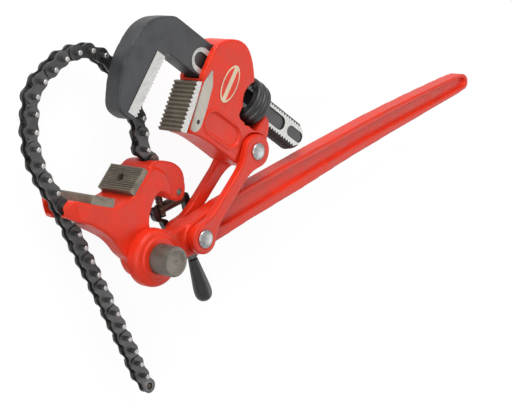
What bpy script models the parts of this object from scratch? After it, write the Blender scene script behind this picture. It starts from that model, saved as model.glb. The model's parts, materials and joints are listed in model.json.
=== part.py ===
"""Compound leverage wrench lying on its side, with its chain looped and hooked.

Units are metres. X runs along the handle, Z is the direction of every pivot pin.
The in-plane origin used while modelling is the trunnion pin's axis, and height zero
is the middle plane of the trunnion and of the chain. The last step moves the whole
tool so that the middle of its base is the world origin.
"""

from math import atan2, cos, hypot, pi, radians, sin, tau

import bmesh
import bpy
from mathutils import Matrix, Vector

# Shared values
CLEARANCE = 0.0003
OVERRUN = 0.004
EDGE_ROUND = 0.0016
ROUND_STEPS = 24
SMALL_STEPS = 12
THREAD_STEPS = 12
CHAIN_STEPS = 8
CHAIN_BUSH_STEPS = 8
SMOOTH_ANGLE = radians(32)
WELD_DISTANCE = 0.000001

# Trunnion pin and trunnion casting
PIN_RADIUS = 0.0148
PIN_FLANGE_RADIUS = 0.0180
PIN_FLANGE_THICKNESS = 0.0050
PIN_STAND_OUT = 0.0213
PIN_CHAMFER = 0.0012
TRUNNION_HALF_WIDTH = 0.0250
TRUNNION_REACH = 0.0870
LUG_RADIUS = 0.0215
LUG_BACK_HEIGHT = 0.0060
LUG_WAIST_Y = 0.0300
LUG_FLARE_Y = 0.0550
HORN_TIP_HALF_WIDTH = 0.0130
HORN_CORNER_REACH = 0.0660
HORN_TIP_REACH = 0.0790
BULB_HALF_WIDTH = 0.0205
BULB_ROUND = 0.0055
EAR_GAP_HALF_WIDTH = 0.0100
EAR_PIN_RADIUS = 0.0033
SEAT_DROP = 0.0008
SLOT_HALF_WIDTH = 0.0072
POCKET_HALF_WIDTH = 0.0142
SLOT_REACH_SHARE = 2.4
SLOT_WALL_SHARE = 1.35
SLOT_TOOTH_SHARE = 0.20

# Jaw inserts of the trunnion
INSERT_HALF_WIDTH = 0.0238
INSERT_LENGTH = 0.0280
INSERT_THICKNESS = 0.0092
INSERT_TEETH = 12
INSERT_TOOTH_DEPTH = 0.0012
JAW_SCREW_RADIUS = 0.0024
JAW_SCREW_HEAD_RADIUS = 0.0036
JAW_SCREW_HEAD_HEIGHT = 0.0026
JAW_SCREW_LENGTH = 0.0150

# Handle
HANDLE_LENGTH = 0.5190
HANDLE_PLANE = 0.0284
HANDLE_HALF_THICKNESS = 0.0098
HANDLE_WEB_HALF_THICKNESS = 0.0046
HANDLE_BLOCK_HALF_THICKNESS = 0.0130
HANDLE_BLOCK_RADIUS = 0.0165
HUB_RADIUS = 0.0286
HUB_FACE_RADIUS = 0.0212
HUB_STEP_RADIUS = 0.0245
HUB_BACK_HEIGHT = 0.0254
HUB_FACE_HEIGHT = 0.0414
HUB_STEP_DROP = 0.0030

# Links
LINK_PIVOT_X = 0.0520
LINK_LENGTH = 0.1082
LINK_ANGLE = radians(31.47)
LINK_THICKNESS = 0.0090
LINK_HALF_WIDTH = 0.0070
LINK_LOWER_EYE = 0.0156
LINK_UPPER_EYE = 0.0170
RIVET_RADIUS = 0.0062
LOWER_RIVET_HEAD = 0.0092
UPPER_RIVET_HEAD = 0.0086
RIVET_DOME_HEIGHT = 0.0034

# Eyes of the links and of the chain's plates: how wide they open, and where the bar starts
EYE_MOUTH = radians(70)
NECK_SHARE = 1.25
SHORT_NECK_SHARE = 0.45

# Head: measured from the upper rivet, along the threaded shank and across it
HEAD_ANGLE = radians(-47.5)
HEAD_HALF_THICKNESS = 0.0170
HEAD_EAR_HALF_THICKNESS = 0.0130
HOUSING_LENGTH = 0.1187
HOUSING_ROUND = 0.0034
SHANK_AXIS_Y = 0.0443
SHANK_HALF_THICKNESS = 0.0108
SHANK_THREAD_RADIUS = 0.0160
SHANK_THREAD_DEPTH = 0.0016
SHANK_THREAD_PITCH = 0.0043
SHANK_TAIL_X = 0.0675
THREAD_REACH = 0.0820
JAW_SHANK_DEPTH = 0.0352
JAW_SHANK_BOTTOM_Y = 0.0296
TUNNEL_BOTTOM_Y = 0.0277
TUNNEL_TOP_Y = 0.0656
LEAF_ROOM_Y = 0.0676
NUT_RADIUS = 0.0245
NUT_REACH = 0.0302
NUT_LENGTH = 0.0225
NUT_GROOVE_DEPTH = 0.0026
HOOK_REACH = 0.1904
HOOK_TEETH = 17
HOOK_TOOTH_DEPTH = 0.0022
HEEL_HALF_THICKNESS = 0.0160
HEEL_TEETH = 12
HEEL_TOOTH_DEPTH = 0.0026
KEY_PIN_RADIUS = 0.0021
LABEL_HALF_LENGTH = 0.0200
LABEL_HALF_WIDTH = 0.0100
LABEL_THICKNESS = 0.0005
POCKET_DEPTH = 0.0016
COIL_RADIUS = 0.0040
COIL_WIRE_RADIUS = 0.0008
COIL_TURNS = 4
COIL_HEIGHT = 0.0100
COIL_POINTS_PER_TURN = 10
LEAF_THICKNESS = 0.0006
LEAF_LENGTH = 0.0460
LEAF_HALF_WIDTH = 0.0060

# Chain
CHAIN_PITCH = 0.015875
CHAIN_PLATE_RADIUS = 0.0074
CHAIN_WAIST_HALF_WIDTH = 0.0056
CHAIN_OUTER_FACE = 0.0060
CHAIN_PLATE_THICKNESS = 0.0015
CHAIN_PIN_RADIUS = 0.0025
CHAIN_PIN_END = 0.0130
CHAIN_ROLLER_RADIUS = 0.0044

# Chain screw and its lever. Their places in the trunnion are shares of its reach.
SCREW_X_SHARE = 0.5402
SCREW_END_SHARE = 0.2241
SCREW_THREAD_TOP_SHARE = 0.5172
EYE_Y_SHARE = 0.9230
EYE_WELL_FLOOR_SHARE = 0.7356
BARREL_Y_SHARE = 0.3218
SCREW_X = TRUNNION_REACH * SCREW_X_SHARE
SCREW_END_Y = TRUNNION_REACH * SCREW_END_SHARE
SCREW_THREAD_TOP_Y = TRUNNION_REACH * SCREW_THREAD_TOP_SHARE
EYE_Y = TRUNNION_REACH * EYE_Y_SHARE
EYE_WELL_FLOOR_Y = TRUNNION_REACH * EYE_WELL_FLOOR_SHARE
BARREL_Y = TRUNNION_REACH * BARREL_Y_SHARE
SCREW_RADIUS = 0.0040
SCREW_THREAD_DEPTH = 0.0006
SCREW_THREAD_PITCH = 0.0030
EYE_RADIUS = 0.0056
EYE_INNER_FACE = 0.0046
EYE_OUTER_FACE = 0.0076
EYE_WELL_RADIUS = 0.0098
BARREL_RADIUS = 0.0055
BARREL_SHORT_SIDE = 0.0050
BARREL_LONG_SIDE = 0.0287
SPIGOT_RADIUS = 0.0022
SPIGOT_LENGTH = 0.0070
FORK_HALF_THICKNESS = 0.0036
FORK_WIDTH = 0.0520
GRIP_LENGTH = 0.0500
GRIP_RADIUS = 0.0094
GRIP_NECK_RADIUS = 0.0052
GRIP_ANGLE = radians(-84.2)

RED = (0.80, 0.055, 0.022, 1.0)
FORGED = (0.060, 0.062, 0.066, 1.0)
INSERT_STEEL = (0.150, 0.128, 0.100, 1.0)
BLACK = (0.012, 0.012, 0.013, 1.0)
CHAIN_STEEL = (0.045, 0.045, 0.050, 1.0)
PIN_STEEL = (0.160, 0.145, 0.125, 1.0)
RIVET_STEEL = (0.50, 0.50, 0.51, 1.0)
KEY_STEEL = (0.45, 0.43, 0.38, 1.0)
SPRING_STEEL = (0.30, 0.31, 0.33, 1.0)
LABEL_CREAM = (0.72, 0.60, 0.42, 1.0)
SCREW_STEEL = (0.075, 0.048, 0.036, 1.0)

# Outlines. Every pair is a share of the length named beside its use.

# Trunnion, shares of its reach, from the slot corner round by the bulb and the lug
TRUNNION_TOP_SHARES = (
    (-0.795, 0.998), (-0.603, 0.884), (-0.320, 0.721), (-0.020, 0.721), (0.260, 0.918),
    (0.360, 0.925), (0.500, 0.800), (0.530, 0.600), (0.495, 0.492), (0.416, 0.598),
    (0.348, 0.631), (0.259, 0.590), (0.170, 0.480), (0.115, 0.385))
TRUNNION_LIP_SHARES = (
    (-0.325, 0.150), (-0.390, 0.300), (-0.450, 0.425), (-0.540, 0.535), (-0.640, 0.640),
    (-0.720, 0.700), (-0.800, 0.745), (-0.865, 0.800), (-0.900, 0.860), (-0.900, 0.920),
    (-0.865, 0.970))
BULB_SHARES = (
    (0.270, 0.600), (0.270, 0.900), (0.345, 0.960), (0.440, 0.965), (0.550, 0.930),
    (0.680, 0.860), (0.755, 0.780), (0.790, 0.700), (0.785, 0.590), (0.765, 0.480),
    (0.715, 0.410), (0.650, 0.390), (0.575, 0.430), (0.480, 0.500), (0.400, 0.560))
EAR_GAP_SHARES = ((0.430, 0.300), (0.430, 0.640), (0.900, 0.640), (0.900, 0.300))
EAR_PIN_SHARES = (0.664, 0.502)
LEFT_SEAT_SHARES = ((-0.595, 0.878), (-0.312, 0.719))
RIGHT_SEAT_SHARES = ((0.004, 0.720), (0.266, 0.902))

# Handle, shares of its length
HANDLE_TOP_SHARES = (
    (0.985, 0.016), (0.944, 0.027), (0.815, 0.038), (0.673, 0.0425), (0.538, 0.0425),
    (0.411, 0.0424), (0.306, 0.0418), (0.225, 0.0400), (0.150, 0.0370))
HANDLE_BOTTOM_SHARES = (
    (0.150, -0.0295), (0.243, -0.0247), (0.394, -0.0218), (0.556, -0.0148),
    (0.729, -0.0114), (0.877, -0.0100), (0.955, -0.0125), (0.985, -0.0100))
HANDLE_NECK_SHARES = (
    (0.010, 0.0480), (0.045, 0.0300), (0.075, 0.0325), (0.110, 0.0330), (0.230, 0.0400),
    (0.230, -0.0250), (0.110, -0.0315), (0.080, -0.0290), (0.045, -0.0300), (0.010, -0.0480))
WEB_RECESS_SHARES = (
    (0.155, 0.0235), (0.245, 0.0280), (0.370, 0.0290), (0.640, 0.0290), (0.820, 0.0262),
    (0.932, 0.0225), (0.958, 0.0160), (0.958, 0.0080), (0.940, 0.0025), (0.800, 0.0048),
    (0.620, 0.0058), (0.400, 0.0016), (0.278, -0.0030), (0.180, -0.0060), (0.155, -0.0020))

# Housing of the head, shares of its length
HOUSING_SHARES = (
    (-0.8275, 0.2250), (-0.8534, 0.2360), (-0.8534, 0.5110), (-0.8250, 0.5780),
    (-0.7800, 0.6320), (-0.7000, 0.6860), (-0.6100, 0.7200), (-0.5200, 0.7130),
    (-0.4380, 0.6650), (-0.3660, 0.5950), (-0.3150, 0.5250), (-0.2750, 0.4880),
    (-0.2640, 0.4400), (-0.2900, 0.3300), (-0.3200, 0.2150), (-0.3060, 0.1560),
    (-0.0650, 0.1500), (-0.0480, 0.2000), (-0.0530, 0.2750), (-0.0455, 0.3220),
    (-0.0080, 0.3220), (0.0400, 0.2950), (0.0750, 0.2300), (0.0950, 0.1450),
    (0.1400, 0.0600), (0.1440, -0.0300), (0.1150, -0.1000), (0.0500, -0.1420),
    (-0.0600, -0.1600), (-0.1420, -0.1850), (-0.3000, -0.1780), (-0.5000, -0.1760),
    (-0.6300, -0.1860), (-0.7520, -0.2190), (-0.7880, 0.0150))
KEY_SHARES = (
    (-0.7870, 0.3540), (-0.7180, 0.2430), (-0.6740, 0.0170), (-0.6600, -0.1140),
    (-0.6760, -0.1640), (-0.7000, -0.1830), (-0.7490, -0.1850), (-0.7560, -0.1700),
    (-0.7870, 0.0150), (-0.8200, 0.2130))
KEY_PIN_SHARES = (-0.7080, -0.0930)
LABEL_PLACE_SHARES = (-0.5540, 0.3430)
OVAL_POCKET_SHARES = (-0.4240, -0.0150)
OVAL_POCKET_SIZE_SHARES = (0.2100, 0.0880)
COIL_PLACE_SHARES = (-0.5600, 0.1250)
LEAF_PLACE_SHARE = -0.5500

# Hook jaw, shares of its reach from the upper rivet
HOOK_SHARES = (
    (-0.7700, 0.3400), (-0.8200, 0.3390), (-0.8720, 0.3075), (-0.9260, 0.2700),
    (-0.9680, 0.2140), (-0.9880, 0.1580), (-0.9960, 0.0970), (-1.0000, 0.0280),
    (-0.9970, -0.0150), (-0.9750, -0.1130), (-0.9440, -0.1790), (-0.9220, -0.2220),
    (-0.8900, -0.2430), (-0.8440, -0.2470), (-0.8040, -0.2400))
HOOK_TOOTH_TOP_SHARES = (-0.7773, 0.1282)
HOOK_TOOTH_END_SHARES = (-0.7910, -0.2201)
HEEL_TOP_SHARES = (-0.8913, 0.1946)
HEEL_BOTTOM_SHARES = (-0.8433, -0.2460)
HEEL_BACK_SHARES = ((-0.7660, -0.2250), (-0.7905, 0.0150), (-0.8270, 0.2110))

# Fork of the chain lever, shares of its width, from the screw's axis and the barrel's
FORK_SHARES = (
    (-0.105, 0.085), (-0.215, 0.085), (-0.250, 0.040), (-0.245, -0.120), (-0.185, -0.215),
    (-0.080, -0.222), (-0.070, -0.340), (0.020, -0.560), (0.250, -0.955), (0.390, -1.275),
    (0.600, -1.254), (0.690, -0.855), (0.720, -0.455), (0.715, -0.060), (0.695, 0.060),
    (0.650, 0.085), (0.565, 0.085), (0.565, -0.460), (0.520, -0.660), (0.400, -0.740),
    (0.250, -0.620), (0.120, -0.430), (0.060, -0.240), (-0.078, -0.170), (-0.105, -0.120))
GRIP_START_SHARES = (0.495, -1.265)

# Compass headings of the chain's links, in degrees, from the eye over the loop to the tail
LOOP_HEADINGS = (
    120, 80, 87, 93, 102, 113, 120, 127, 146, 169, 183, 200, 203, 221, 249, 251,
    261, 271, 282, 290, 289, 282)
TAIL_HEADINGS = (282, 282, 282, 283, 283, 283, 282, 283, 282, 284, 280, 282, 290)


def clear_scene():
    for item in list(bpy.data.objects):
        bpy.data.objects.remove(item)


def make_material(name, colour, roughness, metallic):
    material = bpy.data.materials.new(name)
    material.use_nodes = True
    shader = material.node_tree.nodes["Principled BSDF"]
    shader.inputs["Base Color"].default_value = colour
    shader.inputs["Roughness"].default_value = roughness
    shader.inputs["Metallic"].default_value = metallic
    return material


def scaled(shares, size, shift_x=0.0, shift_y=0.0):
    return [(x * size + shift_x, y * size + shift_y) for x, y in shares]


def arc(centre_x, centre_y, radius, start, end, steps):
    angles = [start + (end - start) * step / steps for step in range(steps + 1)]
    return [(centre_x + radius * cos(a), centre_y + radius * sin(a)) for a in angles]


def to_object(mesh_data, name="shape"):
    mesh = bpy.data.meshes.new(name)
    mesh_data.to_mesh(mesh)
    mesh_data.free()
    shape = bpy.data.objects.new(name, mesh)
    bpy.context.collection.objects.link(shape)
    return shape


def prism(outline, low, high, rounding=0.0):
    """A closed plate of the given outline between two heights, its rims chamfered."""
    data = bmesh.new()
    floor = [data.verts.new((x, y, low)) for x, y in outline]
    roof = [data.verts.new((x, y, high)) for x, y in outline]
    data.faces.new(floor)
    data.faces.new(roof)
    for index, corner in enumerate(floor):
        following = (index + 1) % len(floor)
        data.faces.new((corner, floor[following], roof[following], roof[index]))
    bmesh.ops.recalc_face_normals(data, faces=data.faces)
    if rounding:
        rims = [edge for edge in data.edges
                if edge.verts[0].co.z == edge.verts[1].co.z]
        bmesh.ops.bevel(data, geom=rims, offset=rounding, segments=1,
                        affect="EDGES", profile=0.5, clamp_overlap=True)
    return to_object(data)


def turned(profile, place, axis, steps):
    """A solid of revolution from (radius, height) pairs along an axis through a place."""
    turn = Vector((0, 0, 1)).rotation_difference(Vector(axis)).to_matrix().to_4x4()
    data = bmesh.new()
    rings = []
    for radius, height in profile:
        if radius == 0:
            rings.append([data.verts.new((0, 0, height))])
            continue
        rings.append([data.verts.new((radius * cos(tau * i / steps),
                                      radius * sin(tau * i / steps), height))
                      for i in range(steps)])
    for lower, upper in zip(rings, rings[1:]):
        for i in range(steps):
            j = (i + 1) % steps
            corners = [lower[i % len(lower)], lower[j % len(lower)],
                       upper[j % len(upper)], upper[i % len(upper)]]
            unique = list(dict.fromkeys(corners))
            data.faces.new(unique)
    for ring in (rings[0], rings[-1]):
        if len(ring) > 1:
            data.faces.new(ring)
    bmesh.ops.recalc_face_normals(data, faces=data.faces)
    bmesh.ops.transform(data, matrix=Matrix.Translation(place) @ turn, verts=data.verts)
    return to_object(data)


def rod(radius, start, end, steps=ROUND_STEPS):
    start = Vector(start)
    span = Vector(end) - start
    return turned([(radius, 0), (radius, span.length)], start, span.normalized(), steps)


def box(low, high):
    corners = [(low[0], low[1]), (high[0], low[1]), (high[0], high[1]), (low[0], high[1])]
    return prism(corners, low[2], high[2])


def combine(body, tools, operation):
    """Joins or cuts the body with each tool by an exact Boolean, then drops the tools."""
    for tool in tools:
        modifier = body.modifiers.new("combine", "BOOLEAN")
        modifier.operation = operation
        modifier.solver = "EXACT"
        modifier.object = tool
        depsgraph = bpy.context.evaluated_depsgraph_get()
        mesh = bpy.data.meshes.new_from_object(body.evaluated_get(depsgraph))
        body.modifiers.clear()
        body.data = mesh
        bpy.data.objects.remove(tool)
    return body


def cut(body, *tools):
    return combine(body, tools, "DIFFERENCE")


def join(body, *tools):
    return combine(body, tools, "UNION")


def keep(body, tool):
    return combine(body, [tool], "INTERSECT")


def finish(shape, name, material, place=(0, 0, 0), angle=0.0):
    """Names a solid, gives it its material and sets it on its joint's axis."""
    data = bmesh.new()
    data.from_mesh(shape.data)
    bmesh.ops.remove_doubles(data, verts=data.verts, dist=WELD_DISTANCE)
    bmesh.ops.dissolve_limit(data, angle_limit=radians(0.2), verts=data.verts,
                             edges=data.edges)
    data.to_mesh(shape.data)
    data.free()
    shape.name = name
    shape.data.name = name
    shape.data.materials.clear()
    shape.data.materials.append(material)
    shape.data.shade_smooth()
    shape.data.set_sharp_from_angle(angle=SMOOTH_ANGLE)
    shape.location = place
    shape.rotation_euler = (0, 0, angle)
    return shape


def recentre(shape, place):
    """Moves a solid's origin onto a place without moving the solid."""
    shape.data.transform(Matrix.Translation(-Vector(place)))
    return shape


def link_axes():
    lower = Vector((LINK_PIVOT_X, 0, HANDLE_PLANE))
    reach = Vector((cos(LINK_ANGLE), sin(LINK_ANGLE), 0)) * LINK_LENGTH
    return lower, lower + reach


def toothed_line(start, end, teeth, depth, side):
    """Points of a saw edge from start to end, its grooves on the given side."""
    start = Vector(start)
    span = (Vector(end) - start) / teeth
    normal = Vector((-span.y, span.x)).normalized() * depth * side
    points = []
    for tooth in range(teeth):
        points.append(start + span * tooth)
        points.append(start + span * tooth + span / 2 + normal)
    points.append(start + span * teeth)
    return [(point.x, point.y) for point in points]


def eyed_bar(length, start_radius, end_radius, half_width, eye_steps):
    """Outline of a flat link: two round eyes joined by a narrower bar."""
    start_neck = min(start_radius * NECK_SHARE, length * SHORT_NECK_SHARE)
    end_neck = length - min(end_radius * NECK_SHARE, length * SHORT_NECK_SHARE)
    start_eye = arc(0, 0, start_radius, EYE_MOUTH, tau - EYE_MOUTH, eye_steps)
    end_eye = arc(length, 0, end_radius, EYE_MOUTH - pi, pi - EYE_MOUTH, eye_steps)
    return (start_eye + [(start_neck, -half_width), (end_neck, -half_width)]
            + end_eye + [(end_neck, half_width), (start_neck, half_width)])


# Trunnion

def seat_frame(shares):
    """Place, angle and half length of a jaw insert's seat."""
    (x0, y0), (x1, y1) = scaled(shares, TRUNNION_REACH)
    angle = atan2(y1 - y0, x1 - x0)
    return Vector(((x0 + x1) / 2, (y0 + y1) / 2, 0)), angle


def seat_matrix(shares):
    middle, angle = seat_frame(shares)
    return Matrix.Translation(middle) @ Matrix.Rotation(angle, 4, "Z")


def insert_cutter(shares):
    half = INSERT_LENGTH / 2 + CLEARANCE
    depth = SEAT_DROP + CLEARANCE
    cutter = box((-half, -depth, -INSERT_HALF_WIDTH - CLEARANCE),
                 (half, INSERT_THICKNESS, INSERT_HALF_WIDTH + CLEARANCE))
    cutter.data.transform(seat_matrix(shares))
    return cutter


def screw_hole(shares, radius):
    depth = JAW_SCREW_LENGTH + CLEARANCE - INSERT_THICKNESS
    hole = rod(radius, (0, -depth, 0), (0, OVERRUN, 0), SMALL_STEPS)
    hole.data.transform(seat_matrix(shares))
    return hole


def slot_cutters():
    """The chain's channel through the horns: narrow at the middle, wide at two pins."""
    above, below, heading = slot_pins()
    forward = Vector((cos(heading), sin(heading), 0))
    side = Vector((-forward.y, forward.x, 0))
    middle = (above + below) / 2
    reach = CHAIN_PITCH * SLOT_REACH_SHARE
    wall = CHAIN_PLATE_RADIUS * SLOT_WALL_SHARE
    far = TRUNNION_REACH
    tooth = (CHAIN_PITCH - CHAIN_PIN_RADIUS * 2) * SLOT_TOOTH_SHARE

    def strip(start, end, depth, half_width):
        corners = [middle + forward * start + side * depth,
                   middle + forward * end + side * depth,
                   middle + forward * end - side * far,
                   middle + forward * start - side * far]
        return prism([(c.x, c.y) for c in corners], -half_width, half_width)

    return (strip(-reach, -tooth, wall + CLEARANCE, POCKET_HALF_WIDTH),
            strip(tooth, reach, wall + CLEARANCE, POCKET_HALF_WIDTH),
            strip(-tooth - OVERRUN, tooth + OVERRUN, wall, SLOT_HALF_WIDTH))


def first_link_room():
    """Room in the bulb's top for the first link, which leans out of the well."""
    heading = radians(LOOP_HEADINGS[0])
    half = CHAIN_PLATE_RADIUS + CLEARANCE * 4
    room = box((0, -half, -CHAIN_OUTER_FACE - CLEARANCE * 4),
               (CHAIN_PITCH * 2, half, CHAIN_OUTER_FACE + CLEARANCE * 4))
    room.data.transform(Matrix.Translation((SCREW_X, EYE_Y, 0)) @ Matrix.Rotation(heading, 4, "Z"))
    return room


def horn_corner(side):
    """The outer corner of a horn, cut off aslant so that the horn narrows to its tip."""
    high = side * TRUNNION_HALF_WIDTH * 1.2
    tip = side * HORN_TIP_HALF_WIDTH
    far = -HORN_TIP_REACH * 1.5
    corner = prism([(-HORN_CORNER_REACH, high), (-HORN_TIP_REACH, tip), (far, tip), (far, high)],
                   -TRUNNION_REACH * 2, 0)
    corner.data.transform(Matrix(((1, 0, 0, 0), (0, 0, -1, 0), (0, 1, 0, 0), (0, 0, 0, 1))))
    return corner


def trunnion_casting(material):
    lug = arc(0, 0, LUG_RADIUS, radians(66), radians(-190), 20)
    outline = (scaled(TRUNNION_TOP_SHARES, TRUNNION_REACH) + lug
               + scaled(TRUNNION_LIP_SHARES, TRUNNION_REACH))
    body = prism(outline, -TRUNNION_HALF_WIDTH, TRUNNION_HALF_WIDTH, EDGE_ROUND)
    far = TRUNNION_REACH * 2
    back = [(-far, LUG_BACK_HEIGHT), (LUG_WAIST_Y, LUG_BACK_HEIGHT),
            (LUG_FLARE_Y, -TRUNNION_HALF_WIDTH - CLEARANCE), (LUG_FLARE_Y, -far), (-far, -far)]
    relief = prism(back, -far, LUG_RADIUS * 1.2)
    relief.data.transform(Matrix(((0, 0, 1, 0), (1, 0, 0, 0), (0, 1, 0, 0), (0, 0, 0, 1))))
    body = cut(body, relief, horn_corner(1), horn_corner(-1))
    bulb = prism(scaled(BULB_SHARES, TRUNNION_REACH), -BULB_HALF_WIDTH, BULB_HALF_WIDTH,
                 BULB_ROUND)
    body = join(body, bulb)
    low = -TRUNNION_HALF_WIDTH - OVERRUN
    high = TRUNNION_HALF_WIDTH + OVERRUN
    ear_x, ear_y = scaled([EAR_PIN_SHARES], TRUNNION_REACH)[0]
    gap = prism(scaled(EAR_GAP_SHARES, TRUNNION_REACH), -EAR_GAP_HALF_WIDTH,
                EAR_GAP_HALF_WIDTH)
    body = cut(body, gap, rod(PIN_RADIUS + CLEARANCE, (0, 0, low), (0, 0, high)),
               rod(EAR_PIN_RADIUS + CLEARANCE, (ear_x, ear_y, low), (ear_x, ear_y, high),
                   SMALL_STEPS),
               rod(EYE_WELL_RADIUS, (SCREW_X, EYE_WELL_FLOOR_Y, 0),
                   (SCREW_X, TRUNNION_REACH, 0), SMALL_STEPS * 2),
               box((SCREW_X - CHAIN_PIN_RADIUS * 2, EYE_WELL_FLOOR_Y, -POCKET_HALF_WIDTH),
                   (SCREW_X + CHAIN_PIN_RADIUS * 2, TRUNNION_REACH, POCKET_HALF_WIDTH)),
               rod(SCREW_RADIUS + CLEARANCE, (SCREW_X, 0.2 * TRUNNION_REACH, 0),
                   (SCREW_X, TRUNNION_REACH, 0), SMALL_STEPS * 2),
               first_link_room(),
               insert_cutter(LEFT_SEAT_SHARES), insert_cutter(RIGHT_SEAT_SHARES),
               screw_hole(LEFT_SEAT_SHARES, JAW_SCREW_RADIUS + CLEARANCE),
               screw_hole(RIGHT_SEAT_SHARES, JAW_SCREW_RADIUS + CLEARANCE),
               *slot_cutters())
    return finish(body, "trunnion_casting", material)


def jaw_insert(name, shares, material):
    """A block with a saw-toothed top, grooves along Z, and a recessed screw hole."""
    half = INSERT_LENGTH / 2
    seat = -SEAT_DROP
    face = INSERT_THICKNESS + seat
    top = toothed_line((half, face), (-half, face), INSERT_TEETH, INSERT_TOOTH_DEPTH, 1)
    block = prism([(-half, seat), (half, seat)] + top, -INSERT_HALF_WIDTH, INSERT_HALF_WIDTH)
    head_floor = INSERT_THICKNESS - JAW_SCREW_HEAD_HEIGHT - INSERT_TOOTH_DEPTH * 2 + seat
    block = cut(block,
                rod(JAW_SCREW_RADIUS + CLEARANCE, (0, -OVERRUN, 0), (0, head_floor, 0), SMALL_STEPS),
                rod(JAW_SCREW_HEAD_RADIUS + CLEARANCE, (0, head_floor - CLEARANCE, 0),
                    (0, INSERT_THICKNESS + OVERRUN, 0), SMALL_STEPS))
    middle, angle = seat_frame(shares)
    return finish(block, name, material, middle, angle)


def jaw_screw(name, shares, material):
    head_floor = INSERT_THICKNESS - JAW_SCREW_HEAD_HEIGHT - INSERT_TOOTH_DEPTH * 2 - SEAT_DROP
    profile = [(JAW_SCREW_RADIUS, INSERT_THICKNESS - JAW_SCREW_LENGTH),
               (JAW_SCREW_RADIUS, head_floor),
               (JAW_SCREW_HEAD_RADIUS, head_floor),
               (JAW_SCREW_HEAD_RADIUS, head_floor + JAW_SCREW_HEAD_HEIGHT)]
    screw = turned(profile, (0, 0, 0), (0, 1, 0), SMALL_STEPS)
    middle, angle = seat_frame(shares)
    return finish(screw, name, material, middle, angle)


def trunnion_pin(material):
    top = HUB_FACE_HEIGHT + PIN_STAND_OUT
    flange = LUG_BACK_HEIGHT - CLEARANCE
    profile = [(PIN_FLANGE_RADIUS - PIN_CHAMFER, flange - PIN_FLANGE_THICKNESS),
               (PIN_FLANGE_RADIUS, flange - PIN_FLANGE_THICKNESS + PIN_CHAMFER),
               (PIN_FLANGE_RADIUS, flange), (PIN_RADIUS, flange),
               (PIN_RADIUS, top - PIN_CHAMFER), (PIN_RADIUS - PIN_CHAMFER, top)]
    return finish(turned(profile, (0, 0, 0), (0, 0, 1), ROUND_STEPS), "trunnion_pin", material)


def ear_pin(material):
    x, y = scaled([EAR_PIN_SHARES], TRUNNION_REACH)[0]
    pin = rod(EAR_PIN_RADIUS, (0, 0, -BULB_HALF_WIDTH), (0, 0, BULB_HALF_WIDTH), SMALL_STEPS)
    return finish(pin, "ear_pin", material, (x, y, 0))


# Handle and links

def handle_casting(material):
    low = HANDLE_PLANE - HANDLE_HALF_THICKNESS
    high = HANDLE_PLANE + HANDLE_HALF_THICKNESS
    tip_y = HANDLE_LENGTH * 0.003
    outline = (scaled(HANDLE_TOP_SHARES, HANDLE_LENGTH)
               + scaled(HANDLE_BOTTOM_SHARES, HANDLE_LENGTH)
               + arc(HANDLE_LENGTH * 0.985, tip_y, HANDLE_LENGTH * 0.015, radians(-70),
                     radians(70), 5))
    beam = prism(outline, low, high, EDGE_ROUND)
    neck = prism(scaled(HANDLE_NECK_SHARES, HANDLE_LENGTH), low, high, EDGE_ROUND)
    block = turned([(HANDLE_BLOCK_RADIUS, HANDLE_PLANE - HANDLE_BLOCK_HALF_THICKNESS),
                    (HANDLE_BLOCK_RADIUS, HANDLE_PLANE + HANDLE_BLOCK_HALF_THICKNESS)],
                   (LINK_PIVOT_X, 0, 0), (0, 0, 1), ROUND_STEPS)
    shoulder = HUB_STEP_DROP
    hub = turned([(HUB_RADIUS, HUB_BACK_HEIGHT),
                  (HUB_RADIUS, HUB_FACE_HEIGHT - shoulder * 3),
                  (HUB_STEP_RADIUS, HUB_FACE_HEIGHT - shoulder),
                  (HUB_STEP_RADIUS - shoulder / 2, HUB_FACE_HEIGHT - shoulder / 3),
                  (HUB_FACE_RADIUS, HUB_FACE_HEIGHT)],
                 (0, 0, 0), (0, 0, 1), ROUND_STEPS)
    recess_depth = HANDLE_HALF_THICKNESS - HANDLE_WEB_HALF_THICKNESS
    recess = scaled(WEB_RECESS_SHARES, HANDLE_LENGTH)
    front = prism(recess, high - recess_depth, high + OVERRUN)
    back = prism(recess, low - OVERRUN, low + recess_depth)
    swing = rod(HUB_RADIUS + CLEARANCE, (0, 0, -HUB_FACE_HEIGHT), (0, 0, HUB_BACK_HEIGHT))
    eye_room = LINK_LOWER_EYE + CLEARANCE * 8
    side = HANDLE_BLOCK_HALF_THICKNESS
    body = join(beam, neck)
    body = cut(body, front, back)
    body = join(body, block, hub)
    body = cut(body, swing,
               rod(PIN_RADIUS + CLEARANCE, (0, 0, -HUB_FACE_HEIGHT), (0, 0, HUB_FACE_HEIGHT * 2)),
               rod(RIVET_RADIUS + CLEARANCE, (LINK_PIVOT_X, 0, 0),
                   (LINK_PIVOT_X, 0, HUB_FACE_HEIGHT * 2)),
               rod(eye_room, (LINK_PIVOT_X, 0, HANDLE_PLANE + side),
                   (LINK_PIVOT_X, 0, HUB_FACE_HEIGHT * 2)))
    return finish(body, "handle_casting", material)


def link(name, height, material):
    lower, upper = link_axes()
    outline = eyed_bar(LINK_LENGTH, LINK_LOWER_EYE, LINK_UPPER_EYE, LINK_HALF_WIDTH, 11)
    plate = prism(outline, height, height + LINK_THICKNESS, EDGE_ROUND)
    low = height - OVERRUN
    high = height + LINK_THICKNESS + OVERRUN
    plate = cut(plate, rod(RIVET_RADIUS + CLEARANCE, (0, 0, low), (0, 0, high)),
                rod(RIVET_RADIUS + CLEARANCE, (LINK_LENGTH, 0, low), (LINK_LENGTH, 0, high)))
    return finish(plate, name, material, lower, LINK_ANGLE)


def link_face():
    """Distance of the links' inner faces from the handle's middle plane."""
    return HANDLE_BLOCK_HALF_THICKNESS + CLEARANCE


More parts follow.
